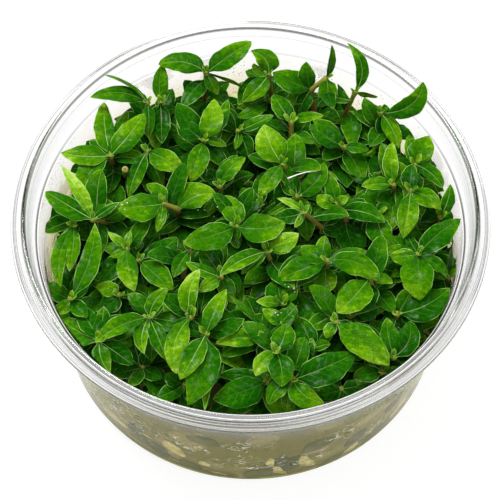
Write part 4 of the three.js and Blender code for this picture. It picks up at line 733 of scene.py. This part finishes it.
def leaf_green(name):
    """Leaf green from deep to bright with the leaf's tone, which also darkens leaves lying deeper as painted
    shade;
    brighter towards its tip and on one half of the blade, as painted light and shade; mottled between the
    side veins, with a thin pale midrib, a painted highlight along parts of the margin, and painted sheen and
    glints."""
    material, shader, start = new_material(name)
    place = object_place(start)
    along, across, half = attribute(start, "plan").split()
    tone, seed, share = attribute(start, "tone").split()
    off = across.unsigned()
    blotch = noise(start, place, 260.0)
    mottle = noise(start, place, 1000.0)
    grain = noise(start, place, 3200.0, 1.0)
    # side veins leave the midrib forward, about one every 1.7 mm, and fade out before the margin
    vein_run = (along - off * 0.9) / 1.7 + seed + mottle * 0.5
    between = vein_run.math("PINGPONG", vein_run, 0.5) * 2.0
    vein = (1 - between.step(0.0, 0.3)) * (1 - (off / half).step(0.45, 0.95)) * off.step(0.1, 0.3)
    midrib = 1 - off.step(0.03, 0.12)
    # Painted highlight: a pale line along parts of the margin
    margin = (off - half).step(-0.15, -0.07)
    # Painted sheen: lighter streaks across the blade
    sheen_streak = noise(start, place.stretched(1.0, 2.2, 1.0), 480.0, 4.0).step(0.5, 0.75)
    # Painted shade: darker towards the leaf's base and on one half of the blade, and with the tone on leaves
    # lying deeper
    shade = tone + (blotch - 0.5) * 0.4 + (mottle - 0.5) * 0.42 + (grain - 0.5) * 0.3 + (share - 0.45) * 0.4
    shade = shade + sheen_streak * 0.2 + (across / half) * (seed - 0.5) * 0.22
    color = (shade * 0.78).ramped([
        (0.0, (0.001, 0.028, 0.001)), (0.24, (0.004, 0.055, 0.001)), (0.4, (0.009, 0.090, 0.001)),
        (0.56, (0.027, 0.138, 0.001)), (0.68, (0.066, 0.205, 0.001)), (0.82, (0.155, 0.33, 0.006)),
        (1.0, (0.36, 0.54, 0.09)),
    ])
    damp = noise(start, place, 420.0)
    # Painted highlight: small pale glints in the damp patches
    glint = grain.step(0.6, 0.7) * damp.step(0.52, 0.64)
    color = (vein * 0.10).mixed(color, (0.20, 0.38, 0.05, 1))
    color = (glint * 0.1).mixed(color, (0.45, 0.65, 0.25, 1))
    color = (margin * (0.1 + 0.65 * blotch.step(0.45, 0.58))).mixed(color, (0.35, 0.57, 0.15, 1))
    color = (midrib * (0.1 + 0.5 * seed * seed) * (1.15 - share)).mixed(color, (0.46, 0.62, 0.20, 1))
    quilt = between.step(0.0, 0.8) * (1 - (off / half).step(0.6, 1.0))
    relief = off.step(0.0, 0.45) * 0.6 + quilt * 0.3 + 0.35 * mottle
    bump = start.node("ShaderNodeBump", {}, Strength=0.5, Distance=0.00022, Height=relief)
    start.fill(shader, Base_Color=color, Roughness=0.5, IOR=1.4, Specular_IOR_Level=0.0)
    start.fill(shader, Normal=start.out(bump))
    start.fill(shader, Coat_Weight=damp.step(0.5, 0.62) * 0.35, Coat_Roughness=0.22, Coat_IOR=1.3)
    return material


def stem_brown(name):
    """Stem colour: yellow-green near the top and red-brown lower down, in streaks."""
    material, shader, start = new_material(name)
    streaks = noise(start, object_place(start), 400.0)
    down = attribute(start, "tone").split()[0] + (streaks - 0.5) * 0.5
    color = down.step(0.0, 0.5).mixed((0.24, 0.24, 0.035, 1), (0.26, 0.10, 0.02, 1))
    start.fill(shader, Base_Color=color, Roughness=0.5, Specular_IOR_Level=0.15)
    return material


leaf_material = leaf_green("leaf_green")
stem_material = stem_brown("stem_brown")


def scatter(n):
    """A number from 0 to 1 that looks random: the fraction of a large multiple of a sine."""
    wave = np.sin(12.9898 * n) * 43758.5453
    return wave - np.floor(wave)


def off_stem(centre, along, angle, distance):
    """The point at an angle and a distance from a stem's line, square to it."""
    side = unit(np.cross((0.0, 1.0, 0.0), along))
    up = np.cross(along, side)
    return centre + distance * (side * np.cos(angle) + up * np.sin(angle))


def nearest(corners, tried):
    """Which of the tried points lies on a corner of the solid, and how far off it is."""
    gaps = np.array([np.linalg.norm(corners - p, axis=1).min() for p in tried])
    return int(gaps.argmin()), float(gaps.min())


# Leaves low on the stems in front, which fill the gap along the wall: tip x, tip y, tip height, width, tone
LOWER_LEAVES = {
    42: [(-4.5, -45.5, 31, 4.6, 0.45), (0.5, -46, 30, 4.2, 0.4), (-9, -45, 29, 4.4, 0.35),
         (5, -46, 29, 4.4, 0.3)],
    43: [(-13.5, -44.5, 29, 4.6, 0.4), (-21.5, -41, 30, 4.6, 0.4), (-9.5, -45.5, 27, 4.4, 0.3),
         (-17.5, -43.5, 26, 4.6, 0.3), (-22.5, -39.5, 27, 4.6, 0.3)],
    48: [(-25.5, -38.5, 30, 4.8, 0.4), (-30, -35.5, 29, 4.6, 0.35), (-22.5, -40.5, 28, 4.6, 0.3)],
}
shoot_points = []
for number, (stem_nodes, leaves, *side_shoot) in enumerate(PLANTLETS, 1):
    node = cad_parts[f"plantlet_{number:02d}"]
    corners = np.empty(len(node.data.vertices) * 3, np.float32)
    node.data.vertices.foreach_get("co", corners)
    corners = corners.reshape(-1, 3).astype(float) / MM
    rng = np.random.default_rng(number)
    top = keep_inside(seen(stem_nodes))
    tip_node, last = top[0], top[-1]
    x, y = FOOT_SHARE * last[0], FOOT_SHARE * last[1]
    feet = [np.array((x + dx, y + dy, GEL_TOP + CLEARANCE)) for dx, dy in FOOT_SHIFTS]
    foot = feet[nearest(corners, feet)[0]]
    axis = unit(foot - last)
    parts = []  # (points, faces, plan, tone, material index)

    def add_leaf(base, tip, width, bow_side, bow_up, roll, tone, settle=np.asarray, fine=True):
        """Adds a closed blade with its plan and tone; settle moves its points to their own places."""
        skin, plan = blade(base, tip, width, bow_side, bow_up, roll, rng, settle, fine)
        points, faces, own = leaf_solid(skin)
        plan = plan.reshape(-1, 4)[own]
        share = plan[:, 3]
        tones = np.stack([0 * share + tone, 0 * share + rng.uniform(0, 1), share], -1)
        parts.append((points, faces, plan[:, :3], tones, 0))

    # The top leaves, each at the height that its tip has in the solid
    rows = [(stem_nodes[leaf[0]], leaf) for leaf in leaves]
    if side_shoot:
        side_node, side_leaves = side_shoot[0]
        side_top = keep_inside(seen([side_node]))[0]
        rows += [(side_node, leaf) for leaf in side_leaves]
    for base, (_, x, y, z, *shape) in rows:
        which, gap = nearest(corners, keep_inside(seen([(x, y, z + dz) for dz in HEIGHT_SHIFTS])))
        if gap <= ON_CORNER:
            add_leaf(base, (x, y, z + HEIGHT_SHIFTS[which]), *shape, seen)

    # The whorls of the solid, then leaves of the nodes between, turned by half a quarter
    for w, share in enumerate(WHORL_PLACES if np.hypot(*last[:2]) > OUTER else WHORL_PLACES[:1]):
        centre = last + (foot - last) * share
        turn = WHORL_TURN * (scatter(number + len(PLANTLETS) * w) - 0.5)
        lengths = []
        for k in range(4):
            tried = np.array([
                off_stem(centre, axis, np.pi / 2 * k + turn, length) + (0, 0, rise)
                for length in WHORL_LENGTHS for rise in WHORL_RISES
            ])
            which, gap = nearest(corners, keep_inside(tried))
            length = WHORL_LENGTHS[which // len(WHORL_RISES)] if gap < ON_CORNER else 0
            lengths.append(length)
            if not length:
                continue
            tone = 0.42 - WHORL_SHADE_STEP * w + rng.uniform(-0.12, 0.12)
            add_leaf(centre, tried[which], WHORL_WIDTH * length, rng.uniform(-0.4, 0.4), WHORL_BOW * length,
                     0, tone, fine=False)
        for k in range(4):
            length = 0.75 * max(lengths[k], lengths[(k + 1) % 4])
            if length < 3:
                continue
            middle = centre + axis * rng.uniform(-3.5, -1.5)
            tip = off_stem(middle, axis, np.pi / 2 * (k + 0.5) + turn, length) + (0, 0, rng.uniform(1, 3))
            add_leaf(middle, tip, WHORL_WIDTH * length, rng.uniform(-0.4, 0.4), WHORL_BOW * length,
                     0, 0.46 - WHORL_SHADE_STEP * w + rng.uniform(-0.1, 0.1), fine=False)

    upper = side_top if side_shoot else last
    for x, y, z, width, tone in LOWER_LEAVES.get(number, ()):
        base = upper + (foot - upper) * np.clip((upper[2] - z + 3) / (upper[2] - foot[2]), 0, 1)
        add_leaf(base, keep_inside(seen((x, y, z))), width, 0.3, 0.8, 0, tone, fine=False)

    # Pairs of leaves at each node down a stem, every pair square to the one above it; at the front, where
    # the wall is near, they turn less and stand closer. A stretch has its upper and lower end, how far down
    # its first pair is, and how much darker its leaves get further down, which is painted shade.
    stretches = [(tip_node, last, 3.2, 0.0), (last, foot, 0.0, 0.25)]
    if side_shoot:
        fork = last + (foot - last) * (last[2] - SIDE_FORK) / (last[2] - foot[2])
        stretches.append((side_top, fork, 1.0, 0.0))
    for upper, lower, down, deep in stretches:
        start_turn = rng.uniform(0, np.pi)
        at_front = lower[1] < FRONT_LINE
        if at_front:
            start_turn = np.pi / 2
        reach = np.linalg.norm(lower - upper)
        run_axis = unit(lower - upper)
        free_end = FREE_FOOT if lower[2] < SIDE_FORK + 1 else FREE_NODE
        pair = 0
        while down < reach - free_end:
            share = down / reach
            at_node = upper + (lower - upper) * share
            for side in (0, 1):
                length = rng.uniform(*PAIR_LENGTHS) * (1 - 0.25 * share)
                angle = start_turn + pair * (0.8 if at_front else np.pi / 2) + side * np.pi
                angle += rng.uniform(-0.35, 0.35)
                tip = off_stem(at_node, run_axis, angle, length) + (0, 0, length * rng.uniform(-0.1, 0.35))
                if np.hypot(tip[0], tip[1]) > OPEN_RADIUS and tip[1] > OPEN_FROM:
                    continue
                add_leaf(at_node, tip, length * rng.uniform(0.42, 0.54), rng.uniform(-0.6, 0.6),
                         rng.uniform(0.05, 0.14) * length, 0, rng.uniform(*PAIR_TONES) - deep * share,
                         fine=False)
            down += rng.uniform(*PAIR_SPACING) * (0.6 if at_front else 1)
            pair += 1

    # Three young leaves, still folded together, at the tip
    for _ in range(3):
        angle = rng.uniform(0, 6.28)
        length = rng.uniform(1.6, 3.0)
        tip = tip_node + (length * 0.6 * np.cos(angle), length * 0.6 * np.sin(angle), length * 0.8)
        add_leaf(tip_node, tip, 0.5 * length, 0, 0.1, 0, rng.uniform(0.75, 0.95), fine=False)

    # The stem, and the side shoot's, each thicker at its nodes
    for stem_line in [[*top, foot]] + ([[side_top, fork]] if side_shoot else []):
        line, at, run = resampled(stem_line, 0.9)
        node_gap = np.abs(at[:, None] - run[None, :-1]).min(1)
        points, faces = tube(line, 0.9 * STEM_RADIUS * (1 + 0.35 * np.exp(-((node_gap / 0.7) ** 2))))
        down = np.concatenate([[0], np.repeat(at / run[-1], TUBE_SIDES), [1]])
        parts.append((points, faces, 0 * points, np.stack([down, 0 * down, 0 * down], -1), 1))

    points, faces = joined([p[:2] for p in parts])
    shoot = mesh_object(f"shoot_{number:02d}", points, faces, [leaf_material, stem_material])
    mesh = shoot.data
    mesh.polygons.foreach_set("material_index", np.concatenate([np.full(len(p[1]), p[4]) for p in parts]))
    plan, tones = (np.concatenate([p[k] for p in parts]) for k in (2, 3))
    for name, values in (("plan", plan), ("tone", tones)):
        numbers = values.astype(np.float32).ravel()
        mesh.attributes.new(name, "FLOAT_VECTOR", "POINT").data.foreach_set("vector", numbers)
    sharpen_margins(mesh, plan, tones[:, 2])
    shoot_points.append(points)
    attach(shoot, "root")
    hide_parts(node.name)

# Loose leaves lie flat against the inside of the wall in front, held there by the film of water. Most are
# olive in its haze, and old ones have faded to straw.
# A row has [angle from the front, height] of the base and of the tip, and the width.
OLIVE_LEAVES = [
    (11, 5.7, 14, 15.2, 5.4), (5.2, 8.7, 9.5, 16.3, 5.1), (-1.4, 1.4, 7.6, 9.3, 5.6),
    (-14.4, 1.2, -7.4, 3.9, 3.2), (20.5, 1.2, 29.4, 6.1, 4.9), (29, 9.3, 35.5, 14.6, 5.1),
    (-20.6, 8.6, -14.7, 2.7, 4.9), (-31, 12.4, -26, 5.2, 5.1), (-18, 25, -8.2, 22.6, 5.4),
    (15, 16, 25, 19.4, 6.3), (-8.5, 4.3, -0.2, 1.2, 2.9), (-36.5, 16, -31.6, 8.3, 4.4),
    (36, 3, 44, 8, 4.4), (-46, 6, -38.5, 2.8, 3.9), (43, 14, 49, 19, 4.9),
]
FADED_LEAVES = [
    (-25.2, 17.4, -19.8, 10.2, 4.8), (5.6, 16.2, 10.8, 3.7, 3.3), (-15, 10.8, -12, 8.6, 2.4),
    (27.8, 4.7, 33.6, 8.2, 2.9), (14.8, 14.2, 19.4, 5.6, 3.1), (-12.2, 5.2, -7, 4.2, 1.2),
    (-50.5, 9, -39, 10.6, 4), (-7.4, 1.3, -2.6, 3.6, 1.7), (46, 7.5, 55, 10.5, 3.3),
]
MEAN_RADIUS = 41.9  # turns an angle into a run along the wall
INSIDE_HEIGHTS = (2.0, 3.4, 5.6, 12.0, 39.0)
INSIDE_RADII = (40.2, 41.1, 41.66, 42.2, 45.0)
PRESSED_THICKNESS = 0.08


def pressed_leaf(angle_1, z_1, angle_2, z_2, width, rng):
    """A leaf's skin on a grid of (along, across), rolled onto the wall: a point of the flat leaf is carried
    to the angle of its run round the wall and to its height, a little way inside the wall."""
    t = np.linspace(0, 1, 14)[:, None]
    s = np.linspace(-1, 1, 7)[None, :]
    base = np.array((np.radians(angle_1) * MEAN_RADIUS, z_1))
    tip = np.array((np.radians(angle_2) * MEAN_RADIUS, z_2))
    along = tip - base
    length = np.linalg.norm(along)
    side = np.array((-along[1], along[0])) / length
    half = width / 2 * np.sin(np.pi * np.minimum(t, 0.999) ** 0.94) ** 0.7 + 0.06
    half = half * (1 + 0.08 * np.sin(13 * t + rng.uniform(0, 6)))
    bend = rng.uniform(-0.12, 0.12) * length * np.sin(np.pi * t)
    flat = base + along * t[..., None] + side * (s * half + bend)[..., None]
    z = np.clip(flat[..., 1], INSIDE_HEIGHTS[0], 40)
    radius = np.interp(z, INSIDE_HEIGHTS, INSIDE_RADII) - 0.1 * s * s
    angle = flat[..., 0] / MEAN_RADIUS
    return np.stack([radius * np.sin(angle), -radius * np.cos(angle), z], -1)


olive_material, shader, start = new_material("olive_leaf")
steeped = noise(start, object_place(start), 160.0, 3.0).step(0.35, 0.65)
start.fill(shader, Base_Color=steeped.mixed((0.012, 0.03, 0.001, 1), (0.07, 0.10, 0.008, 1)), Roughness=0.5)
faded_material, shader, start = new_material("faded_leaf")
place = object_place(start)
bleached = noise(start, place, 500.0, 3.0).step(0.3, 0.7)
speck = noise(start, place, 1800.0, 1.0).step(0.58, 0.68)
color = bleached.mixed((0.60, 0.50, 0.27, 1), (0.98, 0.93, 0.74, 1))
start.fill(shader, Base_Color=(speck * 0.6).mixed(color, (0.22, 0.18, 0.07, 1)), Roughness=0.5)
rng = np.random.default_rng(7)
parts = []
for row in OLIVE_LEAVES + FADED_LEAVES:
    skin = pressed_leaf(*row, rng)
    inward = -skin * (1, 1, 0) / np.linalg.norm(skin[..., :2], axis=-1, keepdims=True)
    parts.append(leaf_solid(skin, inward, PRESSED_THICKNESS)[:2])
pressed = mesh_object("pressed_leaves", *joined(parts), [olive_material, faded_material])
kinds = [np.full(len(p[1]), int(k >= len(OLIVE_LEAVES))) for k, p in enumerate(parts)]
pressed.data.polygons.foreach_set("material_index", np.concatenate(kinds))
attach(pressed, "root")

# One white root, thin as a thread, has grown out of a stem into the damp air between the leaves, right of
# the middle.
ROOT_LINE = [(8.0, 11.2, 43.6), (10.4, 12.3, 44.2), (12.4, 12.9, 44.3), (14.3, 12.9, 43.8)]
ROOT_RADIUS, ROOT_TAPER = 0.17, 0.09
root_material, shader, start = new_material("white_root")
start.fill(shader, Base_Color=(0.85, 0.82, 0.72, 1), Roughness=0.4)
line, at, run = resampled(seen(ROOT_LINE), 0.4)
points, faces = tube(line, ROOT_RADIUS - ROOT_TAPER * at / run[-1])
root_thread = mesh_object("root_thread", points, faces, [root_material])
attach(root_thread, "root")

# A few beads of water, left by the damp air in the cup, lie on the leaves in four places. Each is a low
# dome on the topmost leaf there.
WATER_PLACES = [(-9.5, 3.5), (5.5, -22.0), (9.5, -15.5), (-26.5, 4.0)]
BEADS_TOGETHER = 5
BEAD_NEAR = 0.45  # how far round a bead the topmost leaf is looked for
BEAD_RISE = np.array((0, 0.35, 0.65, 0.88, 1.0))
water_material, shader, start = new_material("water_bead")
# Painted highlight: the water is half white diffuse, for its sparkle
start.fill(shader, Base_Color=(0.95, 0.97, 0.95, 1), Roughness=0.05, IOR=1.33, Transmission_Weight=0.45)
skins = np.concatenate(shoot_points)
on_level = EYE + (skins - EYE) * ((EYE[2] - LEVEL) / (EYE[2] - skins[:, 2]))[:, None]
rng = np.random.default_rng(3)
beads = []
for middle in np.repeat(WATER_PLACES, BEADS_TOGETHER, 0):
    spot = middle + rng.normal(0, 0.8, 2)
    near = np.linalg.norm(on_level[:, :2] - spot, axis=1) < BEAD_NEAR
    lying = skins[near][skins[near, 2].argmax()]
    size = rng.uniform(0.10, 0.22)
    line = lying + np.outer(size * (BEAD_RISE - 0.2), (0, 0, 1))
    beads.append(tube(line, size * np.sqrt(1.02 - BEAD_RISE**2)))
water_beads = mesh_object("water_beads", *joined(beads), [water_material])
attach(water_beads, "root")

# One stem in the back on the left is the stump of a cut plantlet. Its top has dried brown inside a
# pale rim.
CUT_STEM = [(-27.0, 13.5, 42.5), (-26.9, 12.6, 38.0), (-26.8, 11.8, 33.0)]
CUT_RADIUS, CUT_TAPER = 0.72, 0.15
cut_material, shader, start = new_material("cut_stem")
line, at, run = resampled(seen(CUT_STEM), 0.6)
east, north = (part * (1 / MM) for part in object_place(start).split()[:2])
east, north = east - line[0][0], north - line[0][1]
pith = 1 - (east * east + north * north).step(0.06, 0.2)
color = pith.mixed((0.34, 0.42, 0.10, 1), (0.26, 0.12, 0.04, 1))
start.fill(shader, Base_Color=color, Roughness=0.6, Specular_IOR_Level=0.15)
points, faces = tube(line, CUT_RADIUS - CUT_TAPER * at / run[-1])
cut_stem = mesh_object("cut_stem", points, faces, [cut_material])
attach(cut_stem, "root")
